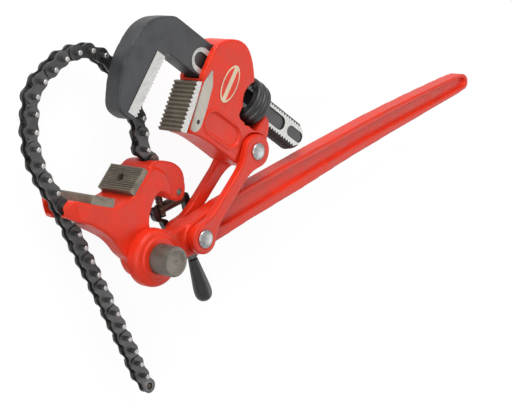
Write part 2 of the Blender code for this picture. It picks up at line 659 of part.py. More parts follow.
def rivet(name, head_radius, place, material, rear_dome):
    """A rivet through both links, domed in front, domed or flush behind."""
    reach = link_face() + LINK_THICKNESS
    seat = reach + CLEARANCE
    dome = RIVET_DOME_HEIGHT
    front = [(RIVET_RADIUS, seat), (head_radius, seat), (head_radius * 0.94, seat + dome * 0.4),
             (head_radius * 0.70, seat + dome * 0.80), (head_radius * 0.36, seat + dome * 0.97),
             (0, seat + dome)]
    rear = [(0, -reach), (RIVET_RADIUS, -reach)]
    if rear_dome:
        rear = [(radius, -height) for radius, height in reversed(front)]
    return finish(turned(rear + front, (0, 0, 0), (0, 0, 1), ROUND_STEPS - 4), name,
                  material, place)


# Head

def oval(centre, half_length, half_width, low, high, steps=16, along_y=False):
    points = []
    for step in range(steps):
        turn = tau * step / steps
        x, y = half_length * cos(turn), half_width * sin(turn)
        points.append((centre[0] + (y if along_y else x), centre[1] + (x if along_y else y)))
    return prism(points, low, high)


def slotted_oval(centre, half_length, half_width, low, high):
    """A long hole with round ends, lying along X."""
    straight = half_length - half_width
    outline = (arc(centre[0] + straight, centre[1], half_width, -pi / 2, pi / 2, 5)
               + arc(centre[0] - straight, centre[1], half_width, pi / 2, pi * 1.5, 5))
    return prism(outline, low, high)


def head_housing(material):
    half = HEAD_HALF_THICKNESS
    body = prism(scaled(HOUSING_SHARES, HOUSING_LENGTH), -half, half, HOUSING_ROUND)
    tunnel = box((-HOUSING_LENGTH, TUNNEL_BOTTOM_Y, -SHANK_HALF_THICKNESS - CLEARANCE),
                 (HOUSING_LENGTH, TUNNEL_TOP_Y, SHANK_HALF_THICKNESS + CLEARANCE))
    ear = HEAD_EAR_HALF_THICKNESS
    groove = LINK_UPPER_EYE + CLEARANCE * 4
    groove_outline = (arc(0, 0, groove, pi, radians(58), 10)
                      + [(groove * 3, groove * 0.84), (groove * 3, -groove * 2),
                         (-groove * 1.1, -groove * 2)])
    front_groove = prism(groove_outline, ear, half * 2)
    back_groove = prism(groove_outline, -half * 2, -ear)
    key = scaled(KEY_SHARES, HOUSING_LENGTH)
    key_room = grown(key, CLEARANCE)
    leaf_x = LEAF_PLACE_SHARE * HOUSING_LENGTH
    leaf_reach = LEAF_LENGTH / 2 + CLEARANCE * 2
    leaf_room = box((leaf_x - leaf_reach, SHANK_AXIS_Y, -LEAF_HALF_WIDTH - CLEARANCE),
                    (leaf_x + leaf_reach, LEAF_ROOM_Y, LEAF_HALF_WIDTH + CLEARANCE))
    pocket = scaled([OVAL_POCKET_SHARES], HOUSING_LENGTH)[0]
    pocket_length, pocket_width = [share * HOUSING_LENGTH for share in OVAL_POCKET_SIZE_SHARES]
    coil_x, coil_y = scaled([COIL_PLACE_SHARES], HOUSING_LENGTH)[0]
    body = cut(body, tunnel, leaf_room, front_groove, back_groove,
               prism(key_room, -half * 2, half * 2),
               rod(RIVET_RADIUS + CLEARANCE, (0, 0, -half * 2), (0, 0, half * 2)),
               slotted_oval(pocket, pocket_length, pocket_width, half - POCKET_DEPTH, half * 2),
               rod(COIL_RADIUS + COIL_WIRE_RADIUS + CLEARANCE, (coil_x, coil_y, 0),
                   (coil_x, TUNNEL_BOTTOM_Y + OVERRUN, 0), SMALL_STEPS * 2))
    return finish(body, "head_housing", material, link_axes()[1], HEAD_ANGLE)


def grown(outline, margin):
    """The outline pushed out from its centre of corners by about the margin."""
    centre_x = sum(x for x, _ in outline) / len(outline)
    centre_y = sum(y for _, y in outline) / len(outline)
    points = []
    for x, y in outline:
        reach = hypot(x - centre_x, y - centre_y)
        grow = (reach + margin * 2) / reach
        points.append((centre_x + (x - centre_x) * grow, centre_y + (y - centre_y) * grow))
    return points


def heel_key(material):
    half = HEAD_HALF_THICKNESS
    plate = prism(scaled(KEY_SHARES, HOUSING_LENGTH), -half, half)
    tunnel = box((-HOUSING_LENGTH, TUNNEL_BOTTOM_Y - CLEARANCE, -SHANK_HALF_THICKNESS - CLEARANCE),
                 (HOUSING_LENGTH, TUNNEL_TOP_Y, SHANK_HALF_THICKNESS + CLEARANCE))
    x, y = scaled([KEY_PIN_SHARES], HOUSING_LENGTH)[0]
    plate = cut(plate, tunnel,
                rod(KEY_PIN_RADIUS + CLEARANCE, (x, y, -half * 2), (x, y, half * 2), SMALL_STEPS))
    return finish(plate, "heel_key", material, link_axes()[1], HEAD_ANGLE)


def key_pin(material):
    x, y = scaled([KEY_PIN_SHARES], HOUSING_LENGTH)[0]
    half = HEAD_HALF_THICKNESS - CLEARANCE * 2
    pin = rod(KEY_PIN_RADIUS, (x, y, -half), (x, y, half), SMALL_STEPS)
    return finish(pin, "heel_jaw_pin", material, link_axes()[1], HEAD_ANGLE)


def heel_jaw(material):
    top = scaled([HEEL_TOP_SHARES], HOUSING_LENGTH)[0]
    bottom = scaled([HEEL_BOTTOM_SHARES], HOUSING_LENGTH)[0]
    teeth = toothed_line(top, bottom, HEEL_TEETH, HEEL_TOOTH_DEPTH, 1)
    back = scaled(HEEL_BACK_SHARES, HOUSING_LENGTH, shift_x=-CLEARANCE * 2)
    jaw = prism(teeth + back, -HEEL_HALF_THICKNESS, HEEL_HALF_THICKNESS)
    return finish(jaw, "heel_jaw", material, link_axes()[1], HEAD_ANGLE)


def threaded_shank():
    """The round thread of the shank, saw-toothed in profile, before it is flattened."""
    count = int((SHANK_TAIL_X - SHANK_THREAD_RADIUS * 0.6 + THREAD_REACH) / SHANK_THREAD_PITCH)
    root = SHANK_THREAD_RADIUS - SHANK_THREAD_DEPTH
    profile = [(root, -THREAD_REACH - OVERRUN)]
    for ridge in range(count):
        start = ridge * SHANK_THREAD_PITCH - THREAD_REACH
        profile.append((root, start))
        profile.append((SHANK_THREAD_RADIUS, start + SHANK_THREAD_PITCH / 2))
    end = count * SHANK_THREAD_PITCH - THREAD_REACH
    profile.append((root, end))
    steps = 5
    for step in range(1, steps + 1):
        turn = pi / 2 * step / steps
        radius = root * cos(turn) if step < steps else 0
        profile.append((radius, end + (SHANK_TAIL_X - end) * sin(turn)))
    return turned(profile, (0, SHANK_AXIS_Y, 0), (1, 0, 0), THREAD_STEPS)


def hook_jaw(material):
    half = SHANK_HALF_THICKNESS
    top_y = JAW_SHANK_BOTTOM_Y + JAW_SHANK_DEPTH
    root = SHANK_THREAD_RADIUS - SHANK_THREAD_DEPTH
    tooth_top = scaled([HOOK_TOOTH_TOP_SHARES], HOOK_REACH)[0]
    tooth_end = scaled([HOOK_TOOTH_END_SHARES], HOOK_REACH)[0]
    teeth = toothed_line(tooth_end, tooth_top, HOOK_TEETH, HOOK_TOOTH_DEPTH, 1)
    step = SHANK_THREAD_DEPTH * 2
    outline = ([(-THREAD_REACH, top_y)] + scaled(HOOK_SHARES, HOOK_REACH) + teeth
               + [(tooth_top[0], JAW_SHANK_BOTTOM_Y), (-THREAD_REACH, JAW_SHANK_BOTTOM_Y)]
               + [(step - THREAD_REACH, SHANK_AXIS_Y - root * 0.78),
                  (step - THREAD_REACH, SHANK_AXIS_Y + root * 0.78)])
    body = prism(outline, -half, half)
    slab = box((-THREAD_REACH - OVERRUN * 2, -SHANK_AXIS_Y, -half),
               (HOUSING_LENGTH, SHANK_AXIS_Y * 3, half))
    shank = keep(threaded_shank(), slab)
    body = join(body, shank)
    pocket_end = SHANK_TAIL_X - SHANK_THREAD_RADIUS * 2.2
    pocket_start = -THREAD_REACH - SHANK_THREAD_RADIUS * 2.1
    long_pocket = ((pocket_start + pocket_end) / 2, SHANK_AXIS_Y)
    eye_pocket = (SHANK_TAIL_X - SHANK_THREAD_RADIUS * 1.05, SHANK_AXIS_Y - SHANK_THREAD_DEPTH)
    pockets = []
    for side in (1, -1):
        low, high = sorted((side * (half - POCKET_DEPTH), side * half * 2))
        pockets.append(slotted_oval(long_pocket, (pocket_end - pocket_start) / 2,
                                    SHANK_THREAD_RADIUS * 0.45, low, high))
        pockets.append(slotted_oval(eye_pocket, SHANK_THREAD_RADIUS * 0.80,
                                    SHANK_THREAD_RADIUS * 0.36, low, high))
    body = cut(body, *pockets)
    return finish(body, "hook_jaw", material, link_axes()[1], HEAD_ANGLE)


def adjusting_nut(material):
    """A ribbed ring that bulges out of the housing's window."""
    length = NUT_LENGTH
    groove = NUT_GROOVE_DEPTH
    bore = SHANK_THREAD_RADIUS + CLEARANCE
    profile = [(NUT_RADIUS - groove, 0), (NUT_RADIUS, length * 0.06), (NUT_RADIUS, length * 0.18),
               (NUT_RADIUS - groove, length * 0.24), (NUT_RADIUS - groove * 0.6, length * 0.34),
               (NUT_RADIUS - groove * 0.6, length * 0.66), (NUT_RADIUS - groove, length * 0.76),
               (NUT_RADIUS, length * 0.82), (NUT_RADIUS, length * 0.94),
               (NUT_RADIUS - groove, length)]
    place = (-NUT_REACH, SHANK_AXIS_Y, 0)
    nut = turned(profile, place, (1, 0, 0), ROUND_STEPS)
    nut = cut(nut, rod(bore, (-NUT_REACH - OVERRUN, SHANK_AXIS_Y, 0),
                       (length + OVERRUN - NUT_REACH, SHANK_AXIS_Y, 0)))
    recentre(nut, (0, SHANK_AXIS_Y, 0))
    turn = Matrix.Rotation(HEAD_ANGLE, 4, "Z")
    place = link_axes()[1] + turn @ Vector((0, SHANK_AXIS_Y, 0))
    return finish(nut, "adjusting_nut", material, place, HEAD_ANGLE)


def label_plate(material):
    centre = scaled([LABEL_PLACE_SHARES], HOUSING_LENGTH)[0]
    low = HEAD_HALF_THICKNESS + CLEARANCE
    plate = oval(centre, LABEL_HALF_LENGTH, LABEL_HALF_WIDTH, low, low + LABEL_THICKNESS,
                 along_y=True)
    return finish(plate, "label_plate", material, link_axes()[1], HEAD_ANGLE)


def tube(points, radius, sides):
    """One unbroken round wire along a list of points, closed at both ends."""
    data = bmesh.new()
    rings = []
    for index, point in enumerate(points):
        before = points[max(index - 1, 0)]
        after = points[min(index + 1, len(points) - 1)]
        forward = (after - before).normalized()
        across = forward.cross(Vector((0, 1, 0))).normalized()
        lift = across.cross(forward)
        rings.append([data.verts.new(point + (across * cos(tau * i / sides)
                                              + lift * sin(tau * i / sides)) * radius)
                      for i in range(sides)])
    for lower, upper in zip(rings, rings[1:]):
        for i in range(sides):
            j = (i + 1) % sides
            data.faces.new((lower[i], lower[j], upper[j], upper[i]))
    data.faces.new(rings[0])
    data.faces.new(rings[-1])
    bmesh.ops.recalc_face_normals(data, faces=data.faces)
    return to_object(data)


def least_gap(points):
    """The least free space between points of the wire that lie half a turn or more apart."""
    apart = COIL_POINTS_PER_TURN // 2
    reaches = [(first - second).length
               for index, first in enumerate(points) for second in points[index + apart:]]
    return min(reaches) - COIL_WIRE_RADIUS * 2


def coil_spring(material):
    """The spring under the shank, wound round the line across the shank."""
    x, y = scaled([COIL_PLACE_SHARES], HOUSING_LENGTH)[0]
    floor = y + COIL_WIRE_RADIUS + CLEARANCE
    count = COIL_TURNS * COIL_POINTS_PER_TURN
    points = []
    for step in range(count + 1):
        turn = tau * step / COIL_POINTS_PER_TURN
        points.append(Vector((x + COIL_RADIUS * cos(turn), floor + COIL_HEIGHT * step / count,
                              COIL_RADIUS * sin(turn))))
    print("coil spring, least gap to itself in mm:", round(least_gap(points) * 1000, 2))
    return finish(tube(points, COIL_WIRE_RADIUS, 6), "coil_spring", material, link_axes()[1],
                  HEAD_ANGLE)


def leaf_spring(material):
    """A bowed strip between the shank's back and the roof of the housing's tunnel."""
    x = LEAF_PLACE_SHARE * HOUSING_LENGTH
    belly = JAW_SHANK_BOTTOM_Y + JAW_SHANK_DEPTH + CLEARANCE
    rise = LEAF_ROOM_Y - CLEARANCE - LEAF_THICKNESS - belly
    steps = 8
    lower, upper = [], []
    for step in range(steps + 1):
        share = step / steps * 2 - 1
        y = belly + rise * share ** 2
        lower.append((x + LEAF_LENGTH / 2 * share, y))
        upper.append((x + LEAF_LENGTH / 2 * share, y + LEAF_THICKNESS))
    strip = prism(lower + upper[::-1], -LEAF_HALF_WIDTH, LEAF_HALF_WIDTH)
    return finish(strip, "leaf_spring", material, link_axes()[1], HEAD_ANGLE)


# Chain and its screw

def chain_joints():
    """Axes of the chain's pins from the eye to the tail's last hole."""
    point = Vector((SCREW_X, EYE_Y, 0))
    points = [point.copy()]
    for degrees in LOOP_HEADINGS + TAIL_HEADINGS:
        heading = radians(degrees)
        point = point + Vector((cos(heading), sin(heading), 0)) * CHAIN_PITCH
        points.append(point.copy())
    return points


def slot_pins():
    """The pin above the horns, the pin below them and the heading between the two."""
    points = chain_joints()
    above = points[len(LOOP_HEADINGS) - 1]
    below = points[len(LOOP_HEADINGS)]
    return above, below, radians(LOOP_HEADINGS[-1])


def plate_outline():
    return eyed_bar(CHAIN_PITCH, CHAIN_PLATE_RADIUS, CHAIN_PLATE_RADIUS,
                    CHAIN_WAIST_HALF_WIDTH, 4)


def chain_outer_link(name, place, heading, material):
    """Two outer plates and the two pins riveted through them."""
    face = CHAIN_OUTER_FACE
    inner = face - CHAIN_PLATE_THICKNESS
    outline = plate_outline()
    body = prism(outline, inner, face)
    body = join(body, rod(CHAIN_PIN_RADIUS, (0, 0, -CHAIN_PIN_END), (0, 0, CHAIN_PIN_END),
                          CHAIN_STEPS),
                rod(CHAIN_PIN_RADIUS, (CHAIN_PITCH, 0, -CHAIN_PIN_END),
                    (CHAIN_PITCH, 0, CHAIN_PIN_END), CHAIN_STEPS),
                prism(outline, -face, -inner))
    return finish(body, name, material, place, heading)


def chain_inner_link(name, place, heading, material):
    """Two inner plates joined by two bushes with their rollers."""
    face = CHAIN_OUTER_FACE - CHAIN_PLATE_THICKNESS - CLEARANCE
    inner = face - CHAIN_PLATE_THICKNESS
    outline = plate_outline()
    body = prism(outline, inner, face)
    middle = (inner + face) / 2
    sides = CHAIN_BUSH_STEPS
    body = join(body, rod(CHAIN_ROLLER_RADIUS, (0, 0, -middle), (0, 0, middle), sides),
                rod(CHAIN_ROLLER_RADIUS, (CHAIN_PITCH, 0, -middle), (CHAIN_PITCH, 0, middle), sides),
                prism(outline, -face, -inner))
    hole = (CHAIN_PIN_RADIUS + CLEARANCE) / cos(pi / sides)
    far = face + OVERRUN
    body = cut(body, rod(hole, (0, 0, -far), (0, 0, far), sides),
               rod(hole, (CHAIN_PITCH, 0, -far), (CHAIN_PITCH, 0, far), sides))
    return finish(body, name, material, place, heading)


def chain(material):
    points = chain_joints()
    headings = LOOP_HEADINGS + TAIL_HEADINGS
    for index, degrees in enumerate(headings):
        name = f"chain_link_{index + 1:02d}"
        make = chain_outer_link if index % 2 else chain_inner_link
        make(name, points[index], radians(degrees), material)


def chain_screw(material):
    """The screw that pulls the chain: a threaded stem under a fork with a clevis pin."""
    fork_floor = EYE_WELL_FLOOR_Y + CLEARANCE * 3
    root = SCREW_RADIUS - SCREW_THREAD_DEPTH
    count = int((SCREW_THREAD_TOP_Y - SCREW_END_Y) / SCREW_THREAD_PITCH)
    profile = [(root, SCREW_END_Y)]
    for ridge in range(count):
        y = SCREW_END_Y + ridge * SCREW_THREAD_PITCH
        profile.append((SCREW_RADIUS, y + SCREW_THREAD_PITCH / 2))
        profile.append((root, y + SCREW_THREAD_PITCH))
    profile.append((root, fork_floor))
    profile.append((EYE_OUTER_FACE, fork_floor))
    profile.append((EYE_OUTER_FACE, EYE_Y))
    stem = turned(profile, (SCREW_X, 0, 0), (0, 1, 0), CHAIN_STEPS + 2)
    stem = join(stem, rod(EYE_RADIUS, (SCREW_X, EYE_Y, -EYE_OUTER_FACE),
                          (SCREW_X, EYE_Y, EYE_OUTER_FACE), SMALL_STEPS))
    gap_floor = EYE_Y - CHAIN_PLATE_RADIUS - CLEARANCE
    gap = box((0, gap_floor, -EYE_INNER_FACE), (HANDLE_LENGTH, TRUNNION_REACH * 2, EYE_INNER_FACE))
    body = cut(stem, gap)
    body = join(body, rod(CHAIN_PIN_RADIUS, (SCREW_X, EYE_Y, -EYE_OUTER_FACE - CLEARANCE * 3),
                          (SCREW_X, EYE_Y, EYE_OUTER_FACE + CLEARANCE * 3), CHAIN_STEPS))
    recentre(body, (SCREW_X, EYE_Y, 0))
    return finish(body, "chain_screw", material, (SCREW_X, EYE_Y, 0))


def barrel_ends():
    """Where the barrel starts and ends along X, on both sides of the screw."""
    return SCREW_X - BARREL_SHORT_SIDE, SCREW_X + BARREL_LONG_SIDE


def barrel_nut(material):
    """The cross barrel that the screw runs in, with a spigot at each end for the lever."""
    start, end = barrel_ends()
    barrel = turned([(SPIGOT_RADIUS, start - SPIGOT_LENGTH), (SPIGOT_RADIUS, start),
                     (BARREL_RADIUS, start), (BARREL_RADIUS, end),
                     (SPIGOT_RADIUS, end), (SPIGOT_RADIUS, end + SPIGOT_LENGTH)],
                    (0, BARREL_Y, 0), (1, 0, 0), SMALL_STEPS * 2)
    barrel = cut(barrel, rod(SCREW_RADIUS + CLEARANCE, (SCREW_X, 0, 0),
                             (SCREW_X, EYE_Y, 0), SMALL_STEPS))
    recentre(barrel, (SCREW_X, BARREL_Y, 0))
    return finish(barrel, "barrel_nut", material, (SCREW_X, BARREL_Y, 0))


def lever_fork(material):
    outline = scaled(FORK_SHARES, FORK_WIDTH, SCREW_X, BARREL_Y)
    fork = prism(outline, -FORK_HALF_THICKNESS, FORK_HALF_THICKNESS, EDGE_ROUND / 2)
    start, end = barrel_ends()
    fork = cut(fork, rod(SPIGOT_RADIUS + CLEARANCE, (0, BARREL_Y, 0), (HANDLE_LENGTH, BARREL_Y, 0),
                         SMALL_STEPS),
               rod(BARREL_RADIUS + CLEARANCE, (start - CLEARANCE, BARREL_Y, 0),
                   (end + CLEARANCE, BARREL_Y, 0), SMALL_STEPS * 2))
    recentre(fork, (SCREW_X, BARREL_Y, 0))
    return finish(fork, "lever_fork", material, (SCREW_X, BARREL_Y, 0))


def lever_grip(material):
    """The lever's tapered grip, thickest near its round end."""
    start_x, start_y = scaled([GRIP_START_SHARES], FORK_WIDTH, SCREW_X, BARREL_Y)[0]
    axis = (cos(GRIP_ANGLE), sin(GRIP_ANGLE), 0)
    length = GRIP_LENGTH
    profile = [(GRIP_NECK_RADIUS, CLEARANCE), (GRIP_NECK_RADIUS * 1.1, length * 0.12),
               (GRIP_RADIUS * 0.85, length * 0.50), (GRIP_RADIUS, length * 0.74),
               (GRIP_RADIUS * 0.92, length * 0.87), (GRIP_RADIUS * 0.60, length * 0.96),
               (0, length)]
    grip = turned(profile, (start_x, start_y, 0), axis, ROUND_STEPS - 8)
    recentre(grip, (SCREW_X, BARREL_Y, 0))
    return finish(grip, "lever_grip", material, (SCREW_X, BARREL_Y, 0))


def lift_to_floor():
    """Moves the whole tool so that the middle of its base is the world origin."""
    bpy.context.view_layer.update()
    corners = []
    for item in bpy.data.objects:
        corners += [item.matrix_world @ vertex.co for vertex in item.data.vertices]
    low = [min(corner[axis] for corner in corners) for axis in range(3)]
    high = [max(corner[axis] for corner in corners) for axis in range(3)]
    tool = bpy.data.objects.new("wrench", None)
    bpy.context.collection.objects.link(tool)
    for item in list(bpy.data.objects):
        if item is not tool:
            item.parent = tool
    tool.location = (-(low[0] + high[0]) / 2, -(low[1] + high[1]) / 2, -low[2])
    bpy.context.view_layer.update()
    return tool.location


def build():
    clear_scene()
    red = make_material("red_paint", RED, 0.35, 0.0)
    forged = make_material("forged_steel", FORGED, 0.45, 0.9)
    insert = make_material("insert_steel", INSERT_STEEL, 0.50, 0.8)
    black = make_material("black_oxide", BLACK, 0.40, 0.3)
    chain_steel = make_material("chain_steel", CHAIN_STEEL, 0.40, 0.9)
    pin_steel = make_material("pin_steel", PIN_STEEL, 0.45, 0.8)
    rivet_steel = make_material("rivet_steel", RIVET_STEEL, 0.35, 1.0)
    key_steel = make_material("key_steel", KEY_STEEL, 0.45, 0.9)
    spring_steel = make_material("spring_steel", SPRING_STEEL, 0.40, 1.0)
    cream = make_material("label_cream", LABEL_CREAM, 0.50, 0.0)
    screw_steel = make_material("screw_steel", SCREW_STEEL, 0.45, 0.7)

    trunnion_casting(red)
    trunnion_pin(pin_steel)
    ear_pin(pin_steel)
    jaw_insert("trunnion_jaw_left", LEFT_SEAT_SHARES, insert)
    jaw_insert("trunnion_jaw_right", RIGHT_SEAT_SHARES, insert)
    jaw_screw("jaw_screw_left", LEFT_SEAT_SHARES, screw_steel)
    jaw_screw("jaw_screw_right", RIGHT_SEAT_SHARES, screw_steel)

    handle_casting(red)
    lower, upper = link_axes()
    link("front_link", link_face(), red)
    link("rear_link", -link_face() - LINK_THICKNESS, red)
    rivet("lower_rivet", LOWER_RIVET_HEAD, lower, rivet_steel, rear_dome=False)
    rivet("upper_rivet", UPPER_RIVET_HEAD, upper, rivet_steel, rear_dome=True)

    head_housing(red)
    heel_jaw(insert)
    heel_key(key_steel)
    key_pin(screw_steel)
    hook_jaw(forged)
    adjusting_nut(black)
    label_plate(cream)
    coil_spring(spring_steel)
    leaf_spring(spring_steel)

    chain_screw(screw_steel)
    barrel_nut(screw_steel)
    lever_fork(black)
    lever_grip(black)
    chain(chain_steel)
    shift = lift_to_floor()
    print("model shift in mm:", [round(value * 1000, 3) for value in shift])


build()
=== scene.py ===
"""Compound leverage wrench: the finished look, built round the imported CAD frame.

Every piece is modelled in metres where the CAD says that it lies. Castings and forgings
are soft bodies remeshed from their cast outline and then machined; threads, teeth, chain
links and the spring are made with Geometry Nodes or in mesh code.
"""

import json
from math import atan2, cos, hypot, pi, radians, sin, tau

import bmesh
import bpy
from mathutils import Euler, Matrix, Vector


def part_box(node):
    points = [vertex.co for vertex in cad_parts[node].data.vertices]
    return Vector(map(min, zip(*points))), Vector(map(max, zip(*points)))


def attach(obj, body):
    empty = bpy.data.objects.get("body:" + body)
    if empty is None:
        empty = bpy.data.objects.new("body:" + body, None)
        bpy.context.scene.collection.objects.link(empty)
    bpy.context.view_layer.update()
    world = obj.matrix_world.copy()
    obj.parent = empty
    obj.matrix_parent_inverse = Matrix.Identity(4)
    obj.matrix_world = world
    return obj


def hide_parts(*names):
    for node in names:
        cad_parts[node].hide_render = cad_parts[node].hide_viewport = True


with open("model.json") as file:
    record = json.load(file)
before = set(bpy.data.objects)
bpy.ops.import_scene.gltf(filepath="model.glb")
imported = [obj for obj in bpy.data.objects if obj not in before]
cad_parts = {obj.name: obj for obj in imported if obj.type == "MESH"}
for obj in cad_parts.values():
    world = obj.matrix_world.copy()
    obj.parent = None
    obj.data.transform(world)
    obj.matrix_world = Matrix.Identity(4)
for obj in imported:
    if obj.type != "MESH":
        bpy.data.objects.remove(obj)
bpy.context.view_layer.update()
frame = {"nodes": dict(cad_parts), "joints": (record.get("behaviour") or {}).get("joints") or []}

bl_info = {
    "name": "Compound Leverage Wrench",
    "version": (1, 0, 0),
    "blender": (4, 5, 0),
    "location": "View3D > Sidebar > Wrench",
    "description": "Builds the finished pieces of a compound leverage wrench",
    "category": "Add Mesh",
}

JOINTS = {joint["name"]: joint for joint in frame["joints"]}

# Lengths that reach past any cut, in metres
THROUGH = 0.05
FAR = 0.2

# Sizes shared with the CAD, in metres
GAP = 0.0003
PIN_RADIUS = 0.0148
PIN_TOP = 0.0627
LUG_RADIUS = 0.0215
LUG_BACK = 0.0060
TRUNNION_REACH = 0.0870
TRUNNION_HALF = 0.0250
BULB_HALF = 0.0205
EAR_PIN_RADIUS = 0.0033
SLOT_HALF = 0.0072
POCKET_HALF = 0.0142
INSERT_SIZE = (0.0280, 0.0092, 0.0476)
SEAT_DROP = 0.0008
SEAT_HOLE_RADIUS = 0.0027
HANDLE_LENGTH = 0.5190
HANDLE_PLANE = 0.0284
HUB_RADIUS = 0.0286
HUB_BACK = 0.0254
LINK_PIVOT_X = 0.0520
LINK_LENGTH = 0.1082
LINK_FACE = 0.0133
LINK_THICKNESS = 0.0090
RIVET_RADIUS = 0.0062
HOUSING_LENGTH = 0.1187
HEAD_HALF = 0.0170
SHANK_Y = 0.0443
SHANK_HALF = 0.0108
THREAD_RADIUS = 0.0160
THREAD_DEPTH = 0.0016
THREAD_PITCH = 0.0043
THREAD_START = -0.0820
TAIL_END = 0.0675
HOOK_REACH = 0.1904
TUNNEL = (0.0277, 0.0656)
SHANK_SIDES = (0.0296, 0.0648)
CHAIN_PITCH = 0.015875
CHAIN_FACE = 0.0060
PLATE_THICKNESS = 0.0015
PLATE_RADIUS = 0.0074
PLATE_WAIST = 0.0056
CHAIN_PIN_RADIUS = 0.0025
CHAIN_PIN_END = 0.0130
ROLLER_RADIUS = 0.0044
SCREW_X = 0.0470
SCREW_END_Y = 0.0195
EYE_Y = 0.0803
WELL_FLOOR_Y = 0.0640
BARREL_Y = 0.0280
BARREL_RADIUS = 0.0055
BARREL_SIDES = (0.0050, 0.0287)
SPIGOT_RADIUS = 0.0022
FORK_WIDTH = 0.0520
FORK_HALF = 0.0036
GRIP_LENGTH = 0.0500
GRIP_ANGLE = radians(-84.2)

# Outlines as shares of the length named where they are used
TRUNNION_TOP = (
    (-0.795, 0.998), (-0.603, 0.884), (-0.320, 0.721), (-0.020, 0.721), (0.260, 0.918),
    (0.360, 0.925), (0.500, 0.800), (0.530, 0.600), (0.495, 0.492), (0.416, 0.598),
    (0.348, 0.631), (0.259, 0.590), (0.170, 0.480), (0.115, 0.385))
TRUNNION_LIP = (
    (-0.325, 0.150), (-0.390, 0.300), (-0.450, 0.425), (-0.540, 0.535), (-0.640, 0.640),
    (-0.720, 0.700), (-0.800, 0.745), (-0.865, 0.800), (-0.900, 0.860), (-0.900, 0.920),
    (-0.865, 0.970))
BULB = (
    (0.270, 0.600), (0.270, 0.900), (0.345, 0.960), (0.440, 0.965), (0.550, 0.930),
    (0.680, 0.860), (0.755, 0.780), (0.790, 0.700), (0.785, 0.590), (0.765, 0.480),
    (0.715, 0.410), (0.650, 0.390), (0.575, 0.430), (0.480, 0.500), (0.400, 0.560))
EAR_GAP = ((0.430, 0.300), (0.430, 0.640), (0.900, 0.640), (0.900, 0.300))
EAR_PIN = (0.664, 0.502)
SEATS = {"left": ((-0.595, 0.878), (-0.312, 0.719)), "right": ((0.004, 0.720), (0.266, 0.902))}
HANDLE_BEAM = (
    (0.944, 0.0318), (0.815, 0.038), (0.673, 0.0425), (0.538, 0.0425),
    (0.411, 0.0424), (0.306, 0.0418), (0.225, 0.0400), (0.150, 0.0370), (0.150, -0.0295),
    (0.243, -0.0247), (0.394, -0.0218), (0.556, -0.0148), (0.729, -0.0114),
    (0.877, -0.0100), (0.950, -0.0090))
HANDLE_NECK = (
    (0.010, 0.0480), (0.045, 0.0300), (0.075, 0.0325), (0.110, 0.0330), (0.230, 0.0400),
    (0.230, -0.0250), (0.110, -0.0315), (0.080, -0.0290), (0.045, -0.0300), (0.010, -0.0480))
HANDLE_WEB = (
    (0.155, 0.0235), (0.245, 0.0280), (0.370, 0.0290), (0.640, 0.0290), (0.820, 0.0278),
    (0.968, 0.0228), (0.979, 0.0170), (0.979, 0.0080), (0.970, 0.0022), (0.800, 0.0040),
    (0.620, 0.0058), (0.400, 0.0016), (0.278, -0.0030), (0.180, -0.0060), (0.155, -0.0020))
HOUSING = (
    (-0.8275, 0.2250), (-0.8534, 0.2360), (-0.8534, 0.5110), (-0.8250, 0.5780),
    (-0.7800, 0.6320), (-0.7000, 0.6860), (-0.6100, 0.7200), (-0.5200, 0.7130),
    (-0.4380, 0.6650), (-0.3660, 0.5950), (-0.3150, 0.5250), (-0.2750, 0.4880),
    (-0.2640, 0.4400), (-0.2900, 0.3300), (-0.3200, 0.2150), (-0.3060, 0.1560),
    (-0.0650, 0.1500), (-0.0480, 0.2000), (-0.0530, 0.2750), (-0.0455, 0.3220),
    (-0.0080, 0.3220), (0.0400, 0.2950), (0.0750, 0.2300), (0.0950, 0.1450),
    (0.1400, 0.0600), (0.1440, -0.0300), (0.1150, -0.1000), (0.0500, -0.1420),
    (-0.0600, -0.1600), (-0.1420, -0.1850), (-0.3000, -0.1780), (-0.5000, -0.1760),
    (-0.6300, -0.1860), (-0.7520, -0.2190), (-0.7880, 0.0150))
KEY = (
    (-0.7870, 0.3540), (-0.7180, 0.2430), (-0.6740, 0.0170), (-0.6600, -0.1140),
    (-0.6760, -0.1640), (-0.7000, -0.1830), (-0.7490, -0.1850), (-0.7560, -0.1700),
    (-0.7870, 0.0150), (-0.8200, 0.2130))
KEY_PIN = (-0.7080, -0.0930)
LABEL_PLACE = (-0.5540, 0.3430)
OVAL_POCKET = (-0.4240, -0.0150)
COIL_PLACE = (-0.5600, 0.1250)
HOOK = (
    (-0.7700, 0.3400), (-0.8200, 0.3390), (-0.8720, 0.3075), (-0.9260, 0.2700),
    (-0.9680, 0.2140), (-0.9880, 0.1580), (-0.9960, 0.0970), (-1.0000, 0.0280),
    (-0.9970, -0.0150), (-0.9750, -0.1130), (-0.9440, -0.1790), (-0.9220, -0.2220),
    (-0.8900, -0.2430), (-0.8440, -0.2470), (-0.8040, -0.2400))
HOOK_TEETH = ((-0.7910, -0.2201), (-0.7773, 0.1282))
HEEL_TEETH = ((-0.8913, 0.1946), (-0.8433, -0.2460))
HEEL_BACK = ((-0.7660, -0.2250), (-0.7905, 0.0150), (-0.8270, 0.2110))
FORK = (
    (-0.105, 0.085), (-0.215, 0.085), (-0.250, 0.040), (-0.245, -0.120), (-0.185, -0.215),
    (-0.080, -0.222), (-0.070, -0.340), (0.020, -0.560), (0.250, -0.955), (0.390, -1.275),
    (0.600, -1.254), (0.690, -0.855), (0.720, -0.455), (0.715, -0.060), (0.695, 0.060),
    (0.650, 0.085), (0.565, 0.085), (0.565, -0.460), (0.520, -0.660), (0.400, -0.740),
    (0.250, -0.620), (0.120, -0.430), (0.060, -0.240), (-0.078, -0.170), (-0.105, -0.120))
GRIP_START = (0.495, -1.265)

